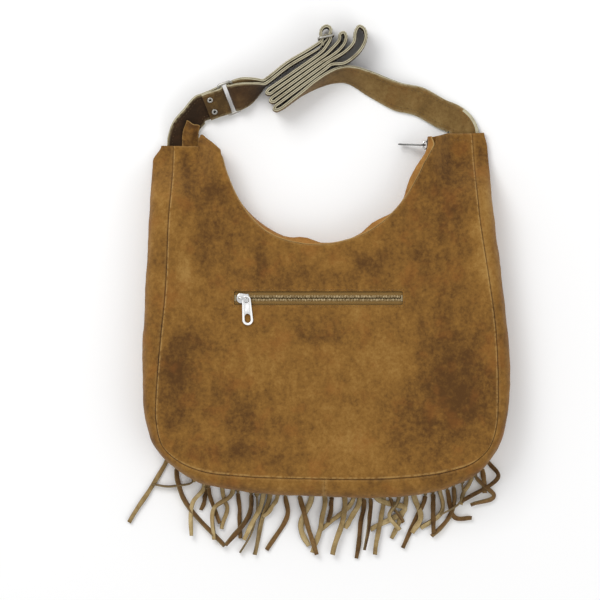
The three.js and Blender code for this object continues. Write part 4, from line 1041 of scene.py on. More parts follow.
    def build_zip_end(self) -> bpy.types.Object:
        """Folded suede end of the mouth zip, standing out of the left tab."""
        end = self.body.left_tab_end
        middles = SmoothCurve([
            (end[0] - 8.2, end[1] - 7, 6.3), (end[0] - 8.2, end[1] + 2, 6.5),
            (end[0] - 7.8, end[1] + 13, 11.8), (end[0] - 5, end[1] + 23, 17.6)])
        t = np.linspace(0, 3, 26)
        place, along = middles.at(t)
        s = np.linspace(-1, 1, 17)
        across = unit(lerp(np.array([1, -0.12, 0.0]), np.array([0.92, -0.39, -0.1]), (t / 3)[:, None]))
        normal = unit(np.cross(across, along))
        wave = (np.cos(s * 4.2) * 1.5)[None, :, None] * smooth(t, 0.6, 2.2)[:, None, None] * normal[:, None]
        flat = place[:, None] + across[:, None] * (lerp(9, 7.6, smooth(t, 1.4, 3))[:, None] * s)[..., None]
        rumple = soft_noise(flat, 6, 4.4) * 0.6 * smooth(t, 0.6, 2)[:, None]
        spot = flat + wave + rumple[..., None] * normal[:, None]
        outer, inner = spot + normal[:, None] * 0.9, spot - normal[:, None] * 0.9
        # Paler along the flap's two long edges: partly wear, partly painted highlight.
        wear_and_edge_highlight = np.broadcast_to(0.5 * smooth(np.abs(s), 0.8, 1), (26, 17))
        marks = {"nap": -0.7 + soft_noise(flat, 9, 2.2), "wear_and_edge_highlight": wear_and_edge_highlight}
        return self.suede_piece("zip_end_suede", outer, inner, marks)

    def build(self) -> list[bpy.types.Object]:
        panel = {"flat": (0.366, 0.38), "held": "laid", "area": 0.099}
        half = {"flat": (0.066, self.body.seam_length / 2 * MM), "held": "laid", "rests_on": ["front_panel"]}
        below = ["pocket_bag", "gusset_left", "gusset_right"]
        back, front = self.build_back(), self.build_front()
        return [
            declare(back, "back_panel", "suede", rests_on=below, **panel),
            declare(front, "front_panel", "suede", rests_on=["fringe"], **panel),
            declare(self.build_gusset(-1), "gusset_left", "suede", **half),
            declare(self.build_gusset(1), "gusset_right", "suede", **half),
            declare(self.build_zip_end(), "zip_end_tab", "suede", flat=(0.018, 0.034), held="folded",
                    rests_on=["strap_short"]),
            declare(self.build_stitching(), None, "suede")]

    def build_stitching(self) -> bpy.types.Object:
        """Visible stitches: round the pocket's window and across the right tab."""
        b = self.body
        right, half, z = self.window_length / 2 + 2, self.window_height / 2 + 1.7, b.middle_height + 0.12
        foot, head = self.pocket_y - half, self.pocket_y + half
        rows = [np.array([[-right, y, z], [right, y, z]]) for y in (foot, head)]
        rows += [np.array([[x, foot, z], [x, head, z]]) for x in (-right, right)]
        tab_y = b.top_right[1] - 7
        xs = np.linspace(b.right_tab_end[0] + 3, b.top_right[0] - 2, 12)
        line = np.stack([xs, np.full(12, tab_y), np.zeros(12)], -1)
        line[:, 2] = lerp(b.back_height(line, np.full(12, 0.08), np.zeros(12)), b.tab_height, 0.2) + 0.15
        rows.append(line)
        spots, ways = zip(*(resample(row, self.stitch_pitch) for row in rows))
        return stitches("panel_stitching", np.concatenate(spots), np.concatenate(ways), 2.3, 0.34,
                        self.finishes.thread)


@dataclass
class Lining:
    """Thin cotton inside: a layer on each panel and the pocket bag."""

    body: Body
    finishes: Finishes
    thick: float = 0.42
    under: float = 2.4
    pocket_top: float = 31.0
    pocket_floor: float = 21.6
    pocket_half: float = 97
    pocket_head: float = 12.0
    pocket_foot: float = -127.5
    slot_half: float = 88.5
    slot_head: float = 1
    slot_foot: float = -13

    def layer(self, name: str, height: Callable[[Grid, Grid, Grid], Grid], seed: float) -> bpy.types.Object:
        """One lining layer.

        Args:
            name: the piece's name.
            height: its top face's height from places, shares across and shares down.
            seed: of its ripples.

        Returns:
            The piece.
        """
        step, v = np.meshgrid(np.linspace(0.35, 23.65, 90), np.linspace(0.075, 0.975, 60), indexing="ij")
        spot, u = self.body.panel(step, v)
        z = height(spot, u, v)
        outer = np.concatenate([spot[..., :2], z[..., None]], -1)
        outer[..., 2] += (soft_noise(outer, 17, seed) - 1) * 0.12
        return shell(name, outer, outer - self.thick * UP, [self.finishes.lining])

    def hanging(self, spot: Grid, u: Grid, v: Grid) -> Grid:
        """Height of the layer that hangs below the pocket bag."""
        b = self.body
        near = b.back_height(spot, u, v) - self.under - 0.6
        side = np.minimum(u, 1 - u) * b.width
        deep = smooth(side, 0, 42) * smooth((1 - v) * b.height, 0, 42)
        return lerp(near, np.minimum(near, self.pocket_floor - 0.6), deep)

    def build_pocket(self) -> bpy.types.Object:
        """The pocket bag: a flat sack open along the zip, slack in its lower part."""
        xs = spread((-self.pocket_half, -self.slot_half, 5), (-self.slot_half, self.slot_half, 40),
                    (self.slot_half, self.pocket_half, 5))
        ys = spread((self.pocket_foot, self.slot_foot, 26), (self.slot_foot, self.slot_head, 4),
                    (self.slot_head, self.pocket_head, 4))
        x, y = np.meshgrid(xs, ys, indexing="ij")
        edge = np.minimum(self.pocket_head - y, y - self.pocket_foot)
        edge = np.minimum(self.pocket_half - np.abs(x), edge)
        open_up = np.sqrt(np.clip(edge / 9, 0, 1))
        flat = np.stack([x, y, 0 * x], -1)
        mid = (self.pocket_top + self.pocket_floor) / 2
        half = (self.pocket_top - self.pocket_floor) / 2 - 0.3
        wave = soft_noise(flat, 20, 6.6) * 0.5
        top = np.stack([x, y, mid + half * open_up + np.minimum(wave, 0)], -1)
        low = np.stack([x, y, mid - half * open_up + np.maximum(wave, 0)], -1)
        quads, rim = grid_faces(*x.shape)
        across, up = x[:-1, :-1].ravel(), y[:-1, :-1].ravel()
        in_slot = (up > self.slot_foot - 0.5) & (up < self.slot_head - 0.1)
        in_slot &= np.abs(across + 2) < self.slot_half - 2
        faces = np.concatenate([quads[~in_slot], quads[:, ::-1] + x.size, rim])
        verts = np.concatenate([top.reshape(-1, 3), low.reshape(-1, 3)])
        sack = mesh_object("pocket_sack_cotton", verts, faces.tolist(), [self.finishes.lining])
        apply_modifier(sack, "SOLIDIFY", thickness=0.0005, offset=0.0)
        face_out(sack)
        return sack

    def build(self) -> list[bpy.types.Object]:
        b = self.body
        front = self.layer("front_lining_cotton", lambda p, u, v: b.front_height(p) + self.under + 0.35, 21.0)
        back = self.layer("back_lining_cotton", self.hanging, 23.0)
        sack = self.build_pocket()
        layer = {"flat": (0.35, 0.34), "area": 0.085}
        return [
            declare(front, "lining_front", "lining", held="laid", rests_on=["front_panel"], **layer),
            declare(back, "lining_back", "lining", held="hung", rests_on=["back_panel"], **layer),
            declare(sack, "pocket_bag", "lining", flat=(0.2, 0.28), held="folded",
                    rests_on=["pocket_tape_upper", "pocket_tape_lower"])]


# Zips


@dataclass
class ZipParts:
    """Sizes that both zips share, and the slider and pull that both carry. Millimetres."""

    finishes: Finishes
    row_start: float = 0.7
    row_end: float = 3.2
    tape_start: float = 1.2
    thick: float = 2.6
    tooth_pitch: float = 1.65
    slider_length: float = 13
    slider_width: float = 10.6
    slider_half: float = 1.7
    plate: float = 1.1
    bail_wire: float = 1.9
    bail_feet: float = 7.6
    bail_reach: float = 3.7
    pull_length: float = 31
    pull_thick: float = 1.5
    pull_width: float = 9
    pull_tip: float = 11.2
    pull_eye: float = 6.2

    @property
    def top(self) -> float:
        """Height of the slider's top face above the zip's middle."""
        return self.slider_half + self.plate

    def teeth(self, name: str, places: Grid, along: Grid, out: Grid, side: int) -> bpy.types.Object:
        """One row of moulded teeth.

        Args:
            name: the piece's name.
            places: middle of the closed zip at each tooth, shape (n, 3).
            along: the zip's direction there.
            out: direction out of the zip's face there.
            side: 1 or -1, the row's side of the middle.

        Returns:
            The piece.
        """
        across = unit(np.cross(out, along)) * side
        near, far = self.row_start - 0.35, self.row_end
        wide, slim, h = 0.62, 0.36, self.thick / 2
        profile = [(near, slim, 0.62), (near + 0.7, wide, 0.95), (far - 0.9, slim, 0.8), (far, wide, 0.5)]
        corners = ((-1, -1), (1, -1), (1, 1), (-1, 1))
        verts = [place + c * reach + a * half * sa + o * h * tall * so
                 for place, a, o, c in zip(places, along, out, across)
                 for reach, half, tall in profile for sa, so in corners]
        around = ((0, 1), (1, 2), (2, 3), (3, 0))
        sides = [(i + a, i + b, i + 4 + b, i + 4 + a) for i in (0, 4, 8) for a, b in around]
        tooth = np.array([*sides, (3, 2, 1, 0), (12, 13, 14, 15)])
        faces = np.concatenate([tooth + 16 * i for i in range(len(places))])
        row = mesh_object(name, np.array(verts), faces.tolist(), [self.finishes.teeth])
        face_out(row)
        return row

    def slider(self, name: str, material: bpy.types.Material, place: Matrix) -> bpy.types.Object:
        """A slider: two shaped plates, their flanges, the web between them and a bail.

        Args:
            name: the piece's name.
            material: of its metal.
            place: from its own frame to the bag's, in metres.

        Returns:
            The piece.
        """
        half, wide = self.slider_length / 2, self.slider_width / 2
        t = np.linspace(0, 1, 13)[:, None]
        curve = lambda a, b, c: a * (1 - t) ** 2 + 2 * b * t * (1 - t) + c * t**2
        p = lambda x, y: np.array([[x, y]])
        sides = [
            curve(p(-half, -wide * 0.72), p(half * 0.2, -wide * 0.98), p(half * 0.3, -wide)),
            curve(p(half * 0.3, -wide), p(half * 0.95, -wide * 0.9), p(half, 0)),
            curve(p(half, 0), p(half * 0.95, wide * 0.9), p(half * 0.3, wide)),
            curve(p(half * 0.3, wide), p(half * 0.2, wide * 0.98), p(-half, wide * 0.72))]
        outline = np.concatenate([s[:-1] for s in sides] + [sides[-1][-1:]])
        box = lambda x0, x1, y0, y1: np.array([[x0, y0], [x1, y0], [x1, y1], [x0, y1]])
        parts = [self.plate_from(f"{name}_plate", outline, low, low + self.plate, material, 0.35)
                 for low in (self.slider_half, -self.top)]
        slit, inner = 0.7, self.row_end + 0.4
        for side in (-1, 1):
            for up in (-1, 1):
                zs = sorted((up * slit, up * (self.top - 0.2)))
                flange = box(-half + 0.4, half * 0.45, *sorted((side * inner, side * (inner + 0.9))))
                parts.append(self.plate_from(f"{name}_flange", flange, *zs, material, 0.2))
        web = box(half * 0.1, half * 0.8, -0.35, 0.35)
        parts.append(self.plate_from(f"{name}_web", web, -self.top + 0.2, self.top - 0.2, material, 0.1))
        foot, rise, bend = self.bail_feet / 2, self.top + self.bail_reach, 1.9
        turn = np.radians(np.linspace(0, 90, 8))
        right = [(foot - bend + bend * math.cos(a), 0, rise - bend + bend * math.sin(a)) for a in turn]
        left = [(-x, 0, z) for x, _, z in reversed(right)]
        line = [(foot, 0, self.slider_half + 0.4), (foot, 0, rise - bend - 1), *right, (0, 0, rise), *left,
                (-foot, 0, rise - bend - 1), (-foot, 0, self.slider_half + 0.4)]
        parts.append(wire(f"{name}_bail", line, self.bail_wire / 2, material, False, 14))
        return settle(join(name, parts), place)

    def plate_from(self, name: str, outline: Grid, low: float, high: float, material: bpy.types.Material,
                   soft: float) -> bpy.types.Object:
        """A flat plate of an outline, with softened edges. Millimetres."""
        n = len(outline)
        verts = np.concatenate([np.c_[outline, np.full(n, low)], np.c_[outline, np.full(n, high)]])
        faces = [tuple(range(n))[::-1], tuple(range(n, 2 * n))]
        faces += [(i, (i + 1) % n, n + (i + 1) % n, n + i) for i in range(n)]
        obj = mesh_object(name, verts, faces, [material])
        face_out(obj)
        apply_modifier(
            obj, "BEVEL", width=soft * MM, segments=2, limit_method="ANGLE", angle_limit=math.radians(50))
        obj.data.shade_smooth()
        bpy.ops.object.shade_smooth_by_angle(angle=math.radians(45))
        return obj

    def pull(self, name: str, material: bpy.types.Material, place: Matrix) -> bpy.types.Object:
        """A stamped pull with an eye and a slot, about the wire it hangs on.

        Args:
            name: the piece's name.
            material: of its metal.
            place: from its own frame to the bag's, in metres.

        Returns:
            The piece.
        """
        eye_y = self.bail_wire / 2 + 0.3 - self.pull_eye / 2
        tip_y = eye_y + self.pull_eye / 2 + 1.4 - self.pull_length
        top, tip = self.pull_width / 2, self.pull_tip / 2
        arc = lambda r, cy, a, b, n: [
            (r * math.cos(t), cy + r * math.sin(t)) for t in np.radians(np.linspace(a, b, n))]
        outline = np.array(arc(top, eye_y, 180, 0, 24) + arc(tip, tip_y + tip, 0, -180, 28))
        body = self.plate_from(name, outline, -self.pull_thick / 2, self.pull_thick / 2, material, 0.3)
        eye = np.array(arc(self.pull_eye / 2, eye_y, 0, 345, 24))
        r = tip - 2.4
        slot = np.array(arc(r, tip_y + tip, 180, 360, 14) + arc(r, tip_y + tip + 3.2, 0, 180, 14))
        for hole in (eye, slot):
            cut_out(body, self.plate_from("cutter", hole, -4, 4, material, 0.01))
        return settle(body, place)


def frame_matrix(x: Sequence[float], y: Sequence[float], z: Sequence[float], at: Sequence[float]) -> Matrix:
    """A place from its three axes and its origin in millimetres."""
    columns = np.eye(4)
    columns[:3, 0], columns[:3, 1], columns[:3, 2] = x, y, z
    columns[:3, 3] = np.asarray(at) * MM
    return Matrix(columns.tolist())


@dataclass
class MouthZip:
    """The mouth: suede facings, tapes, teeth, stops, slider and pull. Millimetres."""

    body: Body
    finishes: Finishes
    parts: ZipParts
    middle: float = 17
    reveal: float = 6.6
    bulge: float = 4
    flat: float = 6
    tape_width: float = 9
    tape_thick: float = 0.6
    slider_deg: float = -2.6
    droop: float = 24
    fullest: float = 0.62
    reaches: tuple[tuple[float, float], ...] = (
        (-175, 0.5), (-168, 2), (-158, 1.4), (-140, 0.2), (-113, 0.2), (-108, 2.6), (-104, 5.8),
        (-100, 6.4), (-96, 4.8), (-92, 2.3), (-84, 1.8), (-76, 2.8), (-68, 5.2), (-64, 7.9), (-60, 10),
        (-56, 9.6), (-52, 8.2), (-47, 5.6), (-41, 5.2), (-36, 6.8), (-32, 9.4), (-28, 11), (-24, 12),
        (-20, 11.2), (-16, 10), (-12, 7.2), (-8, 3.7), (-4, 0.6), (2, 0))

    def hang(self, degrees: Grid, t: Grid) -> Grid:
        """How far the back facing buckles into the opening, from the zip at t 0 to the panel at 1."""
        most = read_table(self.reaches, degrees, 0.1)[:, None]
        rise = most * np.sin(np.pi / 2 * np.clip(t / self.fullest, 0, 1))[None] ** 0.8
        return lerp(rise, self.body.mouth_sag(degrees)[:, None], smooth(t, self.fullest, 1)[None])

    def radius(self, z: Grid, high: Grid) -> Grid:
        """Radius of the mouth's wall at a height."""
        reach = np.where(z > self.middle, high - self.middle, self.middle)
        beyond = np.maximum(0, np.abs(z - self.middle) - self.flat) / (reach - self.flat)
        return self.body.mouth_radius + self.bulge * beyond**2

    def band(self, name: str, side: int, near: float, far_gap: float, most: float, depth: float, thick: float,
             materials: Sequence[bpy.types.Material], wavy: float) -> bpy.types.Object:
        """A strip round the mouth.

        Args:
            name: the piece's name.
            side: 1 above the zip, -1 below it.
            near: its distance from the zip's middle.
            far_gap: its distance from the panel.
            most: its greatest reach from the zip's middle.
            depth: its distance behind the mouth's wall.
            thick: its thickness.
            materials: face and edge.
            wavy: share of the buckles that it takes.

        Returns:
            The piece.
        """
        b = self.body
        degrees = np.linspace(b.mouth_first, b.mouth_last, 260)
        t = np.linspace(0, 1, 14)
        high = b.mouth_top(degrees)
        reach = (high - self.middle if side > 0 else np.full_like(high, self.middle)) - far_gap
        far = np.minimum(most, reach)
        z = self.middle + side * lerp(near, far[:, None], t[None])
        radius = self.radius(z, high[:, None])
        buckle = self.hang(degrees, t) * wavy
        ends = smooth(degrees, b.mouth_first, b.mouth_first + 5)
        ends = (ends * (1 - smooth(degrees, b.mouth_last - 5, b.mouth_last)))[:, None]
        radius = radius + depth - buckle * ends
        angle = np.broadcast_to(degrees[:, None], z.shape)
        rumple = soft_noise(b.around_mouth(radius, angle, z), 9, 15.0) * 0.25 * wavy * ends
        radius = radius - np.maximum(rumple, 0)
        inner, outer = (b.around_mouth(radius + more, angle, z) for more in (0, thick))
        marks = {"nap": soft_noise(inner, 14, 16.0) * 0.6, "wear_and_edge_highlight": np.zeros(z.shape)}
        return shell(name, inner, outer, materials, len(materials) - 1, 0, marks)

    def build(self) -> list[bpy.types.Object]:
        b, f, p = self.body, self.finishes, self.parts
        made: list[bpy.types.Object] = []
        length = math.radians(b.mouth_last - b.mouth_first) * b.mouth_radius * MM
        tape_depth = b.suede + b.gap
        tape_radius = b.mouth_radius + tape_depth + self.tape_thick / 2
        step = math.degrees(p.tooth_pitch / tape_radius)
        for word, side in (("back", 1), ("front", -1)):
            facing = self.band(f"{word}_facing_suede", side, self.reveal, 1.7, 99, 0, b.suede,
                               [f.facing, f.edge], 1.0 if side > 0 else 0.25)
            tape = self.band(f"{word}_mouth_tape", side, p.tape_start, 2.7, p.row_end + 0.3 + self.tape_width,
                             tape_depth, self.tape_thick, [f.tape], 0.0)
            offset = 0 if side > 0 else step / 2
            degrees = np.arange(b.mouth_first + 1.2 + offset, b.mouth_last - 1.2, step)
            places = b.around_mouth(tape_radius, degrees, self.middle)
            rad = np.radians(degrees)
            along = np.stack([-np.sin(rad), np.cos(rad), 0 * rad], -1)
            out = -np.stack([np.cos(rad), np.sin(rad), 0 * rad], -1)
            row = p.teeth(f"{word}_mouth_teeth", places, along, out, side)
            made += [
                declare(facing, f"facing_{word}", "facing", flat=(0.012, length * 1.04), held="stretched",
                        rests_on=[f"mouth_tape_{word}"]),
                declare(tape, f"mouth_tape_{word}", "tape", flat=(0.0113, length), held="stretched",
                        rests_on=[f"facing_{word}"]),
                declare(row, f"mouth_teeth_{word}", "teeth")]
        for node in ("mouth_stop_left", "mouth_stop_right"):
            dress(node, f.tack)
        angle = math.radians(self.slider_deg)
        inward = (-math.cos(angle), -math.sin(angle), 0)
        nose = (inward[1], -inward[0], 0)
        spot = b.around_mouth(tape_radius, self.slider_deg, self.middle)
        place = frame_matrix(nose, np.cross(inward, nose), inward, spot)
        slider = p.slider("mouth_zip_slider", f.dark_metal, place)
        slider.data.materials.append(f.nickel)
        self.brighten_bail(slider, place)
        declare(slider, "mouth_slider", "dark_metal", "mouth_slider")
        pivot = np.array(spot) + np.array(inward) * (p.top + p.bail_reach)
        droop = math.radians(self.droop)
        up = np.array(inward) * -math.cos(droop) + math.sin(droop) * UP
        pull = p.pull("mouth_zip_pull", f.grey_metal, frame_matrix(np.cross(up, nose), up, nose, pivot))
        return [*made, slider, declare(pull, "mouth_pull", "nickel", "mouth_pull")]

    def brighten_bail(self, slider: bpy.types.Object, place: Matrix) -> None:
        """Gives the slider's bail the bright finish."""
        back = place.inverted()
        for face in slider.data.polygons:
            if (back @ face.center).z > (self.parts.top + 0.3) * MM:
                face.material_index = 1


@dataclass
class PocketZip:
    """The back pocket's zip: tapes, teeth, stops, slider and pull. Millimetres."""

    body: Body
    finishes: Finishes
    parts: ZipParts
    tape_z: float = 32
    y: float = -6
    window: float = 177
    tape_width: float = 9
    tape_thick: float = 0.6
    row_end_x: float = 86.1
    lean: float = 4

    def build(self) -> list[bpy.types.Object]:
        f, p = self.finishes, self.parts
        made: list[bpy.types.Object] = []
        for word, side in (("upper", 1), ("lower", -1)):
            reach = self.window / 2 + 9
            x, t = np.meshgrid(np.linspace(-reach, reach, 160), np.linspace(0, 1, 10), indexing="ij")
            y = self.y + side * lerp(p.tape_start, p.row_end + 0.3 + self.tape_width, t)
            flat = np.stack([x, y, np.full_like(x, self.tape_z)], -1)
            flat[..., 2] += soft_noise(flat, 12, 31.0) * 0.12 - 0.9 * smooth(t, 0.3, 0.62)
            up = self.tape_thick / 2 * UP
            tape = shell(f"{word}_pocket_tape", flat + up, flat - up, [f.tape])
            first = -self.row_end_x + 0.8 + (0 if side > 0 else p.tooth_pitch / 2)
            xs = np.arange(first, self.row_end_x - 0.6, p.tooth_pitch)
            n = len(xs)
            places = np.stack([xs, np.full(n, self.y), np.full(n, self.tape_z)], -1)
            along, out = np.tile([1.0, 0, 0], (n, 1)), np.tile(UP, (n, 1))
            row = p.teeth(f"{word}_pocket_teeth", places, along, out, side)
            made += [
                declare(tape, f"pocket_tape_{word}", "tape", flat=(2 * reach * MM, 0.0113), held="stretched",
                        rests_on=["back_panel"]),
                declare(row, f"pocket_teeth_{word}", "teeth")]
        for node in ("pocket_stop_left", "pocket_stop_right"):
            dress(node, f.tack)
        slider_x = -self.row_end_x + p.slider_length / 2
        place = frame_matrix((-1, 0, 0), (0, -1, 0), (0, 0, 1), (slider_x, self.y, self.tape_z))
        slider = p.slider("pocket_zip_slider", f.nickel, place)
        declare(slider, "pocket_slider", "nickel", "pocket_slider")
        lean = math.radians(self.lean)
        x_axis, y_axis = (math.cos(lean), math.sin(lean), 0), (-math.sin(lean), math.cos(lean), 0)
        z = self.tape_z + p.top + 0.3 + p.pull_thick / 2
        spot = (slider_x + p.bail_feet / 2, self.y, z)
        # The pocket pull's near-white colour is a painted glint.
        pull = p.pull("pocket_zip_pull", f.glint_white_nickel, frame_matrix(x_axis, y_axis, (0, 0, 1), spot))
        return [*made, slider, declare(pull, "pocket_pull", "nickel", "pocket_pull")]


def dress(node: str, material: bpy.types.Material) -> None:
    """Gives a frame node that stays in view its finish."""
    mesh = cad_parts[node].data
    mesh.materials.clear()
    mesh.materials.append(material)


# Straps and their hardware


@dataclass
class Station:
    """A place on a strap: its middle, the way across it from its raised edge, and its thickness."""

    c: Grid
    w: Grid
    thick: float = 3.0


@dataclass
class Straps:
    """Both straps, the ring between them, the eyelets and the adjuster. Millimetres."""

    body: Body
    finishes: Finishes
    width: float = 31
    thick: float = 3
    skived: float = 1.4
    pitch: float = 4.1
    eye_room: float = 0.3
    gap: float = 0.3
    ring_span: float = 15
    ring_wire: float = 3
    ring_tilt: float = 28
    ring_turn: float = 21.2
    edge_play: float = 1
    loop: float = 0.35
    free_loop: float = 1.8
    adjuster_wire: float = 2.4
    in_tab: float = 20
    fold_back: float = 19
    rivet_from_bar: float = 12.5
    rivet_spacing: float = 14.6
    sewn_in: float = 5.4
    stitch_pitch: float = 3.6
    clear_of_bar: float = 6.5
    pale_stations: float = 3.4
    tab_room: float = 0.7
    ring_from_tab: tuple[float, float, float] = (50.6, 50.4, 13.6)
    adj_from_ring: tuple[float, float] = (101.5, 63.2)
    adj_way: tuple[float, float] = (0.977, 0.215)
    gate_from_adj: tuple[float, float] = (-6.8, -6.4)
    gate_way: tuple[float, float] = (2.0, -3.57)
    twist_from_ring: tuple[float, float] = (38, 16.5)
    fold_from_twist: tuple[float, float] = (3, -8.5)
    fold_step: tuple[float, float] = (1.95, -4.25)

    def __post_init__(self) -> None:
        """Works out the ring's and the adjuster's frames, as the solids have them."""
        turn, tilt = math.radians(self.ring_turn), math.radians(self.ring_tilt)
        b = self.body
        by = lambda step: np.array([*step, 0])
        self.tab_middle = b.suede + self.tab_room + self.thick / 2
        self.ring_mid = by((b.left_strap_x, b.top_left[1])) + self.ring_from_tab
        self.ring_along = np.array([math.cos(turn), math.sin(turn), 0])
        self.ring_across = np.array([
            math.sin(turn) * math.cos(tilt), -math.cos(turn) * math.cos(tilt), -math.sin(tilt)])
        self.ring_up = unit(np.cross(self.ring_across, self.ring_along))
        self.bar = self.ring_span / 2
        self.slot = self.thick + 2 * self.skived + self.loop + 0.3
        self.reach = self.slot / 2 + self.adjuster_wire / 2 + self.thick / 2 + 1.8
        self.adj = self.ring_mid + by(self.adj_from_ring)
        self.adj_along = unit(by(self.adj_way))
        self.adj_height = self.width + 2 * self.edge_play + self.adjuster_wire
        self.lift = self.adjuster_wire + self.edge_play
        gate_step = unit(by(self.gate_way)) * self.pitch
        gate_first = (self.adj + by(self.gate_from_adj)) * FLAT
        self.gate = lambda k: gate_first + gate_step * (k - 1 + (self.eye_room if k > 2 else 0))
        self.twist_end = (self.ring_mid + by(self.twist_from_ring)) * FLAT
        self.twist_end[2] = self.width / 2 + self.gap
        fold_first = (self.twist_end + by(self.fold_from_twist)) * FLAT
        self.fold = lambda k: fold_first + by(self.fold_step) * (k - 3)

    def resting(self, x: float, y: float, heading: float, tilt: float, lift: float = 0,
                thick: float | None = None) -> Station:
        """A station that rests on the floor.

        Args:
            x: across the bag.
            y: up the bag.
            heading: of the way from the raised edge to the low one, in degrees.
            tilt: 0 lying flat to 90 standing on edge.
            lift: above the floor.
            thick: of the strap there.

        Returns:
            The station.
        """
        thick = self.thick if thick is None else thick
        t, h = math.radians(tilt), math.radians(heading)
        w = np.array([math.cos(h) * math.cos(t), math.sin(h) * math.cos(t), -math.sin(t)])
        z = self.width / 2 * math.sin(t) + thick / 2 * math.cos(t) + self.gap + lift
        return Station(np.array([x, y, z]), w, thick)

    def strand(self, point: Grid, lift: float = 0, thick: float | None = None) -> Station:
        """A station that stands on edge."""
        return self.resting(point[0], point[1], -65, 90, lift, thick)

    def at_ring(self, along: float, up: float) -> Station:
        """A station in the ring's own frame."""
        return Station(self.ring_mid + self.ring_along * along + self.ring_up * up, self.ring_across.copy())

    def turn_round(self, centre: float, radius: float, first: float, last: float,
                   parts: int) -> list[Station]:
        """Stations round one of the ring's bars."""
        angles = np.radians(np.linspace(first, last, parts + 1))
        return [self.at_ring(centre + radius * math.cos(a), radius * math.sin(a)) for a in angles]

    def twisting(self, share: float, side: float) -> Station:
        """A station of the two strands that twist from the ring's tilt to standing on edge."""
        loose = self.ring_wire / 2 + self.free_loop + self.thick / 2
        middle = lerp(self.ring_mid + self.ring_along * (self.bar + 3), self.twist_end, share)
        w = unit(lerp(self.ring_across, -UP, share))
        normal = unit(np.cross(w, self.ring_along))
        off = lerp(loose, self.pitch / 2, float(smooth(np.array(share), 0, 1)))
        return Station(middle + normal * side * off, w)

    def short_route(self) -> list[Station]:
        """The short strap: out of the left tab, round the ring and back over itself."""
        x, y = self.body.left_strap_x, self.body.top_left[1]
        flat = lambda dy: Station(np.array([x, y + dy, self.tab_middle]), np.array([1.0, 0, 0]))
        at = lambda along, up: self.at_ring(-self.bar + along, up)
        layer = (self.thick + self.gap) / 2
        fixed = self.ring_wire / 2 + self.loop + self.thick / 2
        return [
            flat(-self.in_tab), flat(-self.in_tab / 2), flat(1), self.resting(x + 1, y + 11, -3, 12),
            self.resting(x + 5, y + 21.5, -16, 24), self.resting(x + 13.5, y + 31.5, -36, 34),
            at(-self.fold_back - 6, -layer - 0.4), at(-self.fold_back, -layer),
            at(-self.rivet_from_bar, -layer), at(-6, -layer - 0.5),
            *self.turn_round(-self.bar, fixed, -100, 100, 6),
            at(-6, layer + 0.5), at(-self.rivet_from_bar, layer), at(-self.fold_back, layer)]

    def long_route(self) -> list[Station]:
        """The long strap: from the end sewn round the adjuster's bar, through its folds, to the right tab."""
        s, lift, adj = self, self.lift, self.adj
        back, aside = np.array([-0.436, -0.9, 0]), np.array([0.9, -0.436, 0])
        eye = s.adjuster_wire / 2 + s.loop + s.skived / 2
        layer = (s.skived + s.gap) / 2
        near = lambda a, b: s.strand(adj + back * a + aside * b, lift, s.skived)
        through = np.array([-s.adj_along[1], s.adj_along[0], 0])
        slot = lambda side, on: s.strand(
            adj + s.adj_along * side * (s.slot / 2 + s.thick / 2) + through * on, lift)
        fan = lambda spots, up=0: [s.strand(adj + np.array([dx, dy, 0]), up) for dx, dy in spots]
        over_bars = ((-5.2, 6.2), (-3.3, 9.6), (0.6, 11.6), (4.5, 9.6), (5.2, 5.8))
        small_loop = ((8.2, -10.2), (14.4, -2.4), (15, 3.2), (18.8, 4.9), (21.2, 1.2), (19.8, -6), (13, -14.4))
        large_loop = (
            (20.5, -15), (29.6, -4.8), (31, 5.4), (35, 11.6), (40.4, 8.6), (42.2, 0), (38, -11),
            (29.4, -20.6), (19, -27.4))
        layers = lambda k, shares: [s.strand(lerp(s.gate(k), s.fold(k), share)) for share in shares]
        bend = lambda k: s.strand(lerp(s.fold(k), s.fold(k + 1), 0.5) + np.array([-2.6, -1.2, 0]))
        turn = lambda k: [s.strand(s.fold(k)), bend(k), s.strand(s.fold(k + 1))]
        out, back_in = (0.1, 0.5, 0.93), (0.93, 0.5, 0.1)
        off = lambda p, dx, dy: p + np.array([dx, dy, 0])
        rx, ry = s.body.right_strap_x, s.body.top_right[1]
        to_tab = (
            (-173, 40.4, -62, 88), (-154.2, 52.5, -66, 78), (-136.4, 60.4, -84, 66), (-122, 61.6, -90, 57),
            (-100, 52.4, -97, 37), (-84, 44.8, -100, 28), (-69, 38.4, -104, 18), (-48, 34, -107, 10),
            (-24, 21, -109, 4), (-13, 16.4, -120, 2), (-6, 11.5, -138, 1))
        tab = lambda dx, dy, wy=0.0: Station(
            np.array([rx + dx, ry + dy, s.tab_middle]), unit(np.array([-1.0, wy, 0])))
        loose = s.ring_wire / 2 + s.free_loop + s.thick / 2
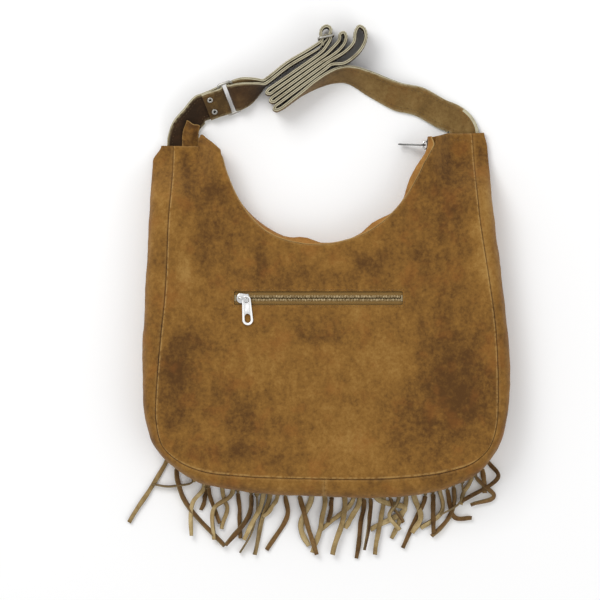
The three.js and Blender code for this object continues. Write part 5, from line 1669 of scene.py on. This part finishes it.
        return [
            near(9.5, layer), near(6, layer), near(2.5, eye * 0.85), near(0, eye),
            near(-eye * 0.7, eye * 0.7), near(-eye, 0), near(-eye * 0.7, -eye * 0.7), near(0, -eye),
            near(2.5, -eye * 0.85), near(7, -layer), near(13, -layer),
            s.strand(off(s.gate(2), -14, -8.6), 1.5), s.strand(off(s.gate(2), -34, -20.4)),
            *[s.twisting(share, 1) for share in (1, 0.75, 0.5, 0.25)],
            *s.turn_round(s.bar, loose, 80, 280, 6),
            *[s.twisting(share, -1) for share in (0.25, 0.5, 0.75, 1)],
            s.strand(off(s.gate(1), -34, -20.2)), s.strand(off(s.gate(1), -10, -6), 2),
            slot(-1, -2), slot(-1, 2), *fan(over_bars, lift), slot(1, 2), slot(1, -2),
            s.strand(off(s.gate(3), 1.6, 3.4), 2), s.strand(off(s.gate(3), -3, -1.6), 1),
            *layers(3, out[1:]), *turn(3), *layers(4, back_in), s.strand(s.gate(4)),
            *fan(small_loop), s.strand(off(s.gate(5), 2.2, 0.8)),
            *layers(5, out), *turn(5), *layers(6, back_in), s.strand(s.gate(6)),
            *fan(large_loop), s.strand(s.gate(7)), *layers(7, out), *turn(7),
            *[s.resting(rx + dx, ry + dy, *way) for dx, dy, *way in to_tab],
            tab(-0.5, 4, -0.12), tab(0, -7), tab(0, -s.in_tab)]

    def ground(self, stations: list[Station]) -> None:
        """Lifts each station whose lowest corner would be in the floor."""
        for s in stations:
            flat = math.sqrt(max(0.0, 1 - s.w[2] ** 2))
            low = s.c[2] - self.width / 2 * abs(s.w[2]) - s.thick / 2 * flat
            s.c[2] += max(0.0, self.gap - low)

    def band(self, name: str, stations: list[Station], per: int,
             light_out: bool) -> tuple[bpy.types.Object, bpy.types.Object]:
        """A strap and its two rows of stitches on each face.

        Args:
            name: the strap's name.
            stations: its route.
            per: steps from station to station.
            light_out: whether its lighter side is the one that faces out of the route's curve; the other side
                is its own darker brown with painted shade.

        Returns:
            The strap and its stitching.
        """
        self.ground(stations)
        middles = SmoothCurve([s.c for s in stations])
        ways = SmoothCurve([s.w for s in stations])
        t = np.linspace(0, len(stations) - 1, (len(stations) - 1) * per + 1)
        place, along = middles.at(t)
        across = unit(ways.at(t)[0])
        out = unit(np.cross(along, across))
        thick = np.interp(t, range(len(stations)), [s.thick for s in stations])
        half, r = self.width / 2, 0.45
        reach = np.array([-half + r, -half + 3.2, -half / 2, 0, half / 2, half - 3.2, half - r])
        h = thick[:, None] / 2
        crown = (1 - (reach / half) ** 6) * 0.12
        wobble = soft_noise(place, 5, 51.0)[:, None] * 0.18
        top = np.stack([np.broadcast_to(reach, (len(t), 7)), h + crown - 0.12], -1)
        low = np.stack([np.broadcast_to(reach[::-1], (len(t), 7)), -h - crown[::-1] + 0.12], -1)
        groove = ((0.72, 0), (0.2, 0), (0, 0.7), (-0.2, 0), (-0.72, 0))
        right = [np.stack([half - deep + wobble, h * k], -1) for k, deep in groove]
        left = [np.stack([-half + deep + wobble, h * k], -1) for k, deep in groove[::-1]]
        section = np.concatenate([top, *right, low, *left], 1)
        slots = [0] * 6 + [1, 1, 3, 3, 1, 1] + [2] * 6 + [1, 1, 3, 3, 1, 1]
        rings = sweep(place, across, out, section)
        f = self.finishes
        # One face takes the darker side, whose colour carries painted shade.
        faces = (f.strap, f.strap_back_shaded) if light_out else (f.strap_back_shaded, f.strap)
        strap = tube_mesh(name, rings, [faces[0], f.strap_edge, faces[1], f.strap_core], slots)
        k = rings.shape[1]
        # Paler corners along the faces' long edges, by the same mark of wear and painted edge highlight.
        wear_and_edge_highlight = np.zeros((len(t), k))
        wear_and_edge_highlight[:, [0, 6, 12, 18]] = 0.8
        if not light_out:
            upper_edge, last = 17, len(t) - 1
            for i in range(last - round(self.pale_stations * per), last):
                strap.data.polygons[i * k + upper_edge].material_index = 1
        store(strap, "wear_and_edge_highlight", wear_and_edge_highlight)
        store(strap, "nap", soft_noise(rings, 22, 52.0) * 0.7 - (0.9 if light_out else -0.2))
        spots, dirs = [], []
        for edge in (-1, 1):
            for face in (-1, 1):
                line = place + across * edge * (half - self.sewn_in) + out * (face * (h + 0.05))
                s, d = resample(line, self.stitch_pitch)
                rel = s - self.ring_mid
                clear = np.hypot(rel @ self.ring_along - self.bar, rel @ self.ring_up) > self.clear_of_bar
                spots.append(s[clear])
                dirs.append(d[clear])
        sewn = stitches(f"{name}_stitching", np.concatenate(spots), np.concatenate(dirs), 2.5, 0.28,
                        self.finishes.strap_thread)
        return strap, sewn

    def rivet(self, name: str, place: Matrix) -> bpy.types.Object:
        """A hollow rivet with rolled heads, about its own Z axis."""
        reach = self.thick + self.gap / 2 + 0.3
        head, inner, outer, barrel = reach + 0.5, 1.3, 3.2, 2.1
        profile = [
            (inner, -head + 0.3), (inner + 0.35, -head - 0.05), (outer - 0.5, -head), (outer, -reach - 0.2),
            (outer - 0.1, -reach), (barrel, -reach), (barrel, reach), (outer - 0.1, reach),
            (outer, reach + 0.2), (outer - 0.5, head), (inner + 0.35, head + 0.05), (inner, head - 0.3)]
        turn = np.linspace(0, math.tau, 32, endpoint=False)
        rings = np.array([[(r * math.cos(a), r * math.sin(a), z) for r, z in profile] for a in turn])
        f = self.finishes
        # The bore's wall takes the dark metal: painted shade inside the hole.
        obj = tube_mesh(name, rings, [f.dull_metal, f.dark_metal], [0] * (len(profile) - 1) + [1], True)
        return settle(obj, place)

    def build(self) -> list[bpy.types.Object]:
        short, short_sewn = self.band("short_strap_suede", self.short_route(), 5, True)
        long, long_sewn = self.band("long_strap_suede", self.long_route(), 4, False)
        axes = (self.ring_along, -self.ring_across, self.ring_up)
        middle = self.at_ring(-self.bar - self.rivet_from_bar, 0).c
        apart = self.ring_across * self.rivet_spacing / 2
        places = [frame_matrix(*axes, middle + apart * side) for side in (-1, 1)]
        for place in places:
            bpy.ops.object.select_all(action="DESELECT")
            bpy.ops.mesh.primitive_cylinder_add(vertices=24, radius=0.0024, depth=0.02)
            cut_out(short, settle(bpy.context.object, place))
        folded = {"held": "folded", "flat": (0.031, 0.158), "rests_on": ["ring"], "with_pieces": [short_sewn]}
        declare(short, "strap_short", "strap", **folded)
        folded |= {"flat": (0.031, 1.05), "rests_on": ["ring", "adjuster"], "with_pieces": [long_sewn]}
        declare(long, "strap_long", "strap", **folded)
        return [
            short, declare(short_sewn, None, "strap"), long, declare(long_sewn, None, "strap"),
            declare(self.rivet("upper_eyelet", places[0]), "rivet_upper", "nickel"),
            declare(self.rivet("lower_eyelet", places[1]), "rivet_lower", "nickel"),
            declare(self.build_ring(), "ring", "nickel", "ring"),
            declare(self.build_adjuster(), "adjuster", "nickel")]

    def build_ring(self) -> bpy.types.Object:
        """The oblong ring between the straps."""
        long_side = self.width + 2 * self.edge_play + self.ring_wire
        loop = rounded_loop(self.ring_span, long_side, 3.4)
        loop = placed(loop, self.ring_along, -self.ring_across, self.ring_up, self.ring_mid)
        return wire("strap_ring", loop, self.ring_wire / 2, self.finishes.dull_metal, True, 16)

    def build_adjuster(self) -> bpy.types.Object:
        """The slide adjuster: an oblong loop and its middle bar."""
        metal, radius, high = self.finishes.dull_metal, self.adjuster_wire / 2, self.adj_height
        middle = self.adj * FLAT + UP * (self.gap + radius + high / 2)
        normal = np.cross(self.adj_along, UP)
        outline = placed(rounded_loop(2 * self.reach, high, 3.0), self.adj_along, UP, normal, middle)
        heights = np.linspace(-high / 2, high / 2, 6)
        bar = [middle + UP * z + normal * 0.001 * i for i, z in enumerate(heights)]
        loop = wire("adjuster_loop", outline, radius, metal, True, 14)
        return join("strap_adjuster", [loop, wire("adjuster_bar", bar, radius, metal, False, 14)])


# Fringe


class Turn(Enum):
    """Which side of a fringe strip shows beyond the bag."""

    FLESH = 0
    GRAIN = 180
    EDGE = 95
    ROLLED = 35
    HALF = 140


@dataclass
class Fringe:
    """The fringe: a header band sewn under the front, and its strips. Millimetres."""

    finishes: Finishes
    thick: float = 1.6
    header_y: float = -140
    header: float = 16
    strip: float = 6
    left: float = -156
    right: float = 172
    layer: float = 1.9
    stack: tuple[int, ...] = (0, 1, 0, 2)
    strips: tuple[tuple[float, float, float, float, float, float, Turn], ...] = (
        (-159, -175, -179, -209, -200, -243, Turn.FLESH), (-150, -185, -144, -214, -99, -268, Turn.HALF),
        (-132, -199, -154, -204, -176, -203, Turn.EDGE), (-121, -206, -133, -222, -134, -257, Turn.FLESH),
        (-118, -207, -120, -218, -124, -230, Turn.GRAIN), (-116, -205, -112, -223, -104, -244, Turn.GRAIN),
        (-101, -212, -97, -228, -102, -250, Turn.FLESH), (-91, -212, -110, -228, -110, -261, Turn.ROLLED),
        (-85, -211, -83, -235, -83, -260, Turn.GRAIN), (-71, -212, -73, -235, -98, -267, Turn.HALF),
        (-65, -214, -67, -243, -83, -275, Turn.EDGE), (-58, -213, -66, -237, -79, -261, Turn.FLESH),
        (-51, -212, -59, -239, -68, -277, Turn.ROLLED), (-43, -214, -49, -227, -59, -237, Turn.FLESH),
        (-35, -214, -33, -237, -55, -272, Turn.GRAIN), (-20, -214, -12, -243, -2, -277, Turn.GRAIN),
        (-7, -215, -19, -246, -10, -268, Turn.FLESH), (7, -215, 3, -243, -6, -275, Turn.FLESH),
        (14, -216, 13, -228, 11, -243, Turn.GRAIN), (28, -218, 24, -245, 15, -277, Turn.FLESH),
        (37, -217, 25, -233, 2, -251, Turn.FLESH), (44, -217, 37, -234, 28, -249, Turn.FLESH),
        (48, -217, 45, -245, 40, -281, Turn.GRAIN), (55, -217, 54, -241, 49, -272, Turn.HALF),
        (62, -217, 91, -228, 55, -251, Turn.FLESH), (69, -218, 64, -247, 60, -277, Turn.FLESH),
        (76, -217, 81, -230, 90, -243, Turn.HALF), (85, -217, 75, -237, 87, -250, Turn.ROLLED),
        (93, -216, 87, -239, 77, -260, Turn.FLESH), (101, -215, 108, -238, 99, -254, Turn.FLESH),
        (113, -214, 104, -237, 89, -270, Turn.GRAIN), (121, -212, 121, -233, 122, -254, Turn.GRAIN),
        (128, -209, 131, -230, 108, -249, Turn.ROLLED), (136, -207, 143, -236, 162, -239, Turn.GRAIN),
        (143, -204, 140, -235, 119, -257, Turn.HALF), (152, -201, 150, -221, 129, -235, Turn.EDGE),
        (162, -194, 155, -209, 150, -224, Turn.FLESH), (166, -194, 185, -215, 161, -225, Turn.HALF),
        (173, -186, 175, -199, 176, -212, Turn.GRAIN), (179, -178, 190, -194, 151, -221, Turn.GRAIN))

    def ribbon(self, index: int) -> tuple[Grid, float]:
        """One strip.

        Args:
            index: its number from the left.

        Returns:
            Rings of its section, and a number that says how its nap lies.
        """
        gx, gy, mx, my, tx, ty, look = self.strips[index]
        pitch = (self.right - self.left - self.strip) / (len(self.strips) - 1)
        root = (self.left + self.strip / 2 + index * pitch, self.header_y - self.header / 2 + 2, 0)
        route = SmoothCurve([root, (gx, gy, 0), (mx, my, 0), (tx, ty, 0)])
        t = np.linspace(0, 3, 46)
        place, along = route.at(t)
        free = smooth(t, 1.05, 1.9)
        rng = np.random.default_rng(100 + index)
        bend = rng.uniform(-1, 1, 3)
        side = np.cross(UP, along)
        place = place + side * (np.sin(t * 4.1 + index) * 0.8 * bend[0] * free)[:, None]
        twist = look.value + 22 * bend[1] * np.sin(t * 2.3 + index * 1.7)
        turn = np.radians(twist) * smooth(t, 0.93, 1.1) * (1 if index % 2 else -1)
        lift = self.layer * self.stack[index % len(self.stack)] * smooth(t, 1.02, 1.86)
        stand = self.strip / 2 * np.abs(np.sin(turn)) + self.thick / 2 * np.abs(np.cos(turn))
        place[:, 2] = stand + 0.02 + lift + np.abs(np.sin(t * 1.9 + index)) * 1.1 * free
        across = side * np.cos(turn)[:, None] + UP * np.sin(turn)[:, None]
        out = unit(np.cross(along, across))
        taper = 1 - 0.12 * smooth(t, 2.6, 3)
        width = (self.strip / 2 * (0.84 + 0.14 * bend[2])) * taper * (1 + 0.06 * np.sin(t * 9 + index))
        cup = 0.25 * free
        corners = (
            (-0.94, 1), (0, 1), (0.94, 1), (1, 0.55), (1, -0.55), (0.94, -1), (0, -1), (-0.94, -1),
            (-1, -0.55), (-1, 0.55))
        section = np.stack([
            np.stack([a * width, b * self.thick / 2 + cup * (a != 0)], -1) for a, b in corners], 1)
        section = section if out[0, 2] > 0 else section * np.array([1, -1])
        return sweep(place, across, out, section), rng.uniform(-0.6, 0.6)

    def build(self) -> list[bpy.types.Object]:
        f = self.finishes
        mats = [f.flesh, f.grain, f.fringe_edge_shaded]
        slots = [0, 0, 2, 2, 2, 1, 1, 2, 2, 2]
        parts = []
        for index in range(len(self.strips)):
            rings, nap = self.ribbon(index)
            strip = tube_mesh(f"strip_{index}", rings, mats, slots)
            store(strip, "nap", nap + soft_noise(rings, 10, 61.0 + index) * 0.5)
            store(strip, "wear_and_edge_highlight", np.zeros(rings.shape[:2]))
            parts.append(strip)
        half = self.header / 2
        ys = np.linspace(self.header_y - half, self.header_y + half, 8)
        y, x = np.meshgrid(ys, np.linspace(self.left, self.right, 120), indexing="ij")
        top, low = (np.stack([x, y, np.full_like(x, z)], -1) for z in (self.thick, 0.05))
        marks = {"nap": soft_noise(top, 20, 66.0) * 0.5, "wear_and_edge_highlight": np.zeros(x.shape)}
        header = shell("fringe_header", top, low, mats, 2, 1, marks)
        fringe = join("fringe_strips", [header, *parts])
        cut = {"flat": ((self.right - self.left) * MM, 0.158), "area": 0.037}
        return [declare(fringe, "fringe", "fringe", held="laid", rests_on=["front_panel"], **cut)]


# Room


@dataclass
class Studio:
    """Pale floor, soft light and the camera over the bag."""

    pixel: float = 1.05
    frame_pixels: int = 600
    centre: tuple[float, float] = (-19.4, -7.9)
    mean_height: float = 0.03
    distance: float = 4.2

    def build(self) -> None:
        """Makes the floor, the lights and the camera."""
        bpy.ops.object.select_all(action="DESELECT")
        bpy.ops.mesh.primitive_plane_add(size=14, location=(0, 0, -0.0004))
        floor = bpy.context.object
        floor.name = "floor"
        s = Shader("pale_floor")
        tone = s.noise(0.3, 2)
        colour = s.mix(tone * 0.2, (0.93, 0.93, 0.93), (0.9, 0.9, 0.9))
        floor.data.materials.append(s.finish(Base_Color=colour, Roughness=0.9, Specular_IOR_Level=0.1))
        world = bpy.data.worlds.new("soft_room")
        bpy.context.scene.world = world
        world.use_nodes = True
        sky = world.node_tree.nodes["Background"].inputs
        sky["Color"].default_value, sky["Strength"].default_value = (1, 1, 1, 1), 0.72
        self.lamp("key", (-0.9, 1.1, 1.5), 1.1, 20)
        self.lamp("fill", (1.3, -0.9, 1.3), 1.4, 7)
        bpy.context.scene.view_settings.view_transform = "Standard"
        camera = bpy.data.cameras.new("camera")
        view = bpy.data.objects.new("camera", camera)
        bpy.context.scene.collection.objects.link(view)
        view.location = (self.centre[0] * MM, self.centre[1] * MM, self.distance + self.mean_height)
        camera.sensor_width = 36
        camera.lens = 36 * self.distance / (self.pixel * MM * self.frame_pixels)
        camera.clip_end = 50
        bpy.context.scene.camera = view

    def lamp(self, name: str, at: Sequence[float], size: float, power: float) -> None:
        """Adds a square soft lamp that looks at the bag.

        Args:
            name: the lamp's name.
            at: its place in metres.
            size: its side in metres.
            power: in watts.
        """
        data = bpy.data.lights.new(name, "AREA")
        data.shape, data.size, data.energy = "SQUARE", size, power
        lamp = bpy.data.objects.new(name, data)
        bpy.context.scene.collection.objects.link(lamp)
        lamp.location = at
        lamp.rotation_euler = Vector((-at[0], -at[1], -at[2])).to_track_quat("-Z", "Y").to_euler()


def main() -> None:
    """Builds the bag, sub-assembly by sub-assembly, and reports each piece."""
    logging.basicConfig(level=logging.INFO, format="%(message)s", stream=sys.stdout)
    finishes = Finishes()
    body = Body()
    zips = ZipParts(finishes)
    Studio().build()
    assemblies = {
        "body": Shell(body, finishes),
        "lining": Lining(body, finishes),
        "mouth": MouthZip(body, finishes, zips),
        "pocket": PocketZip(body, finishes, zips),
        "straps": Straps(body, finishes),
        "fringe": Fringe(finishes),
    }
    for word, assembly in assemblies.items():
        for piece in assembly.build():
            LOG.info("%s: %s, %d faces", word, piece.name, len(piece.data.polygons))


if __name__ == "__main__":
    main()
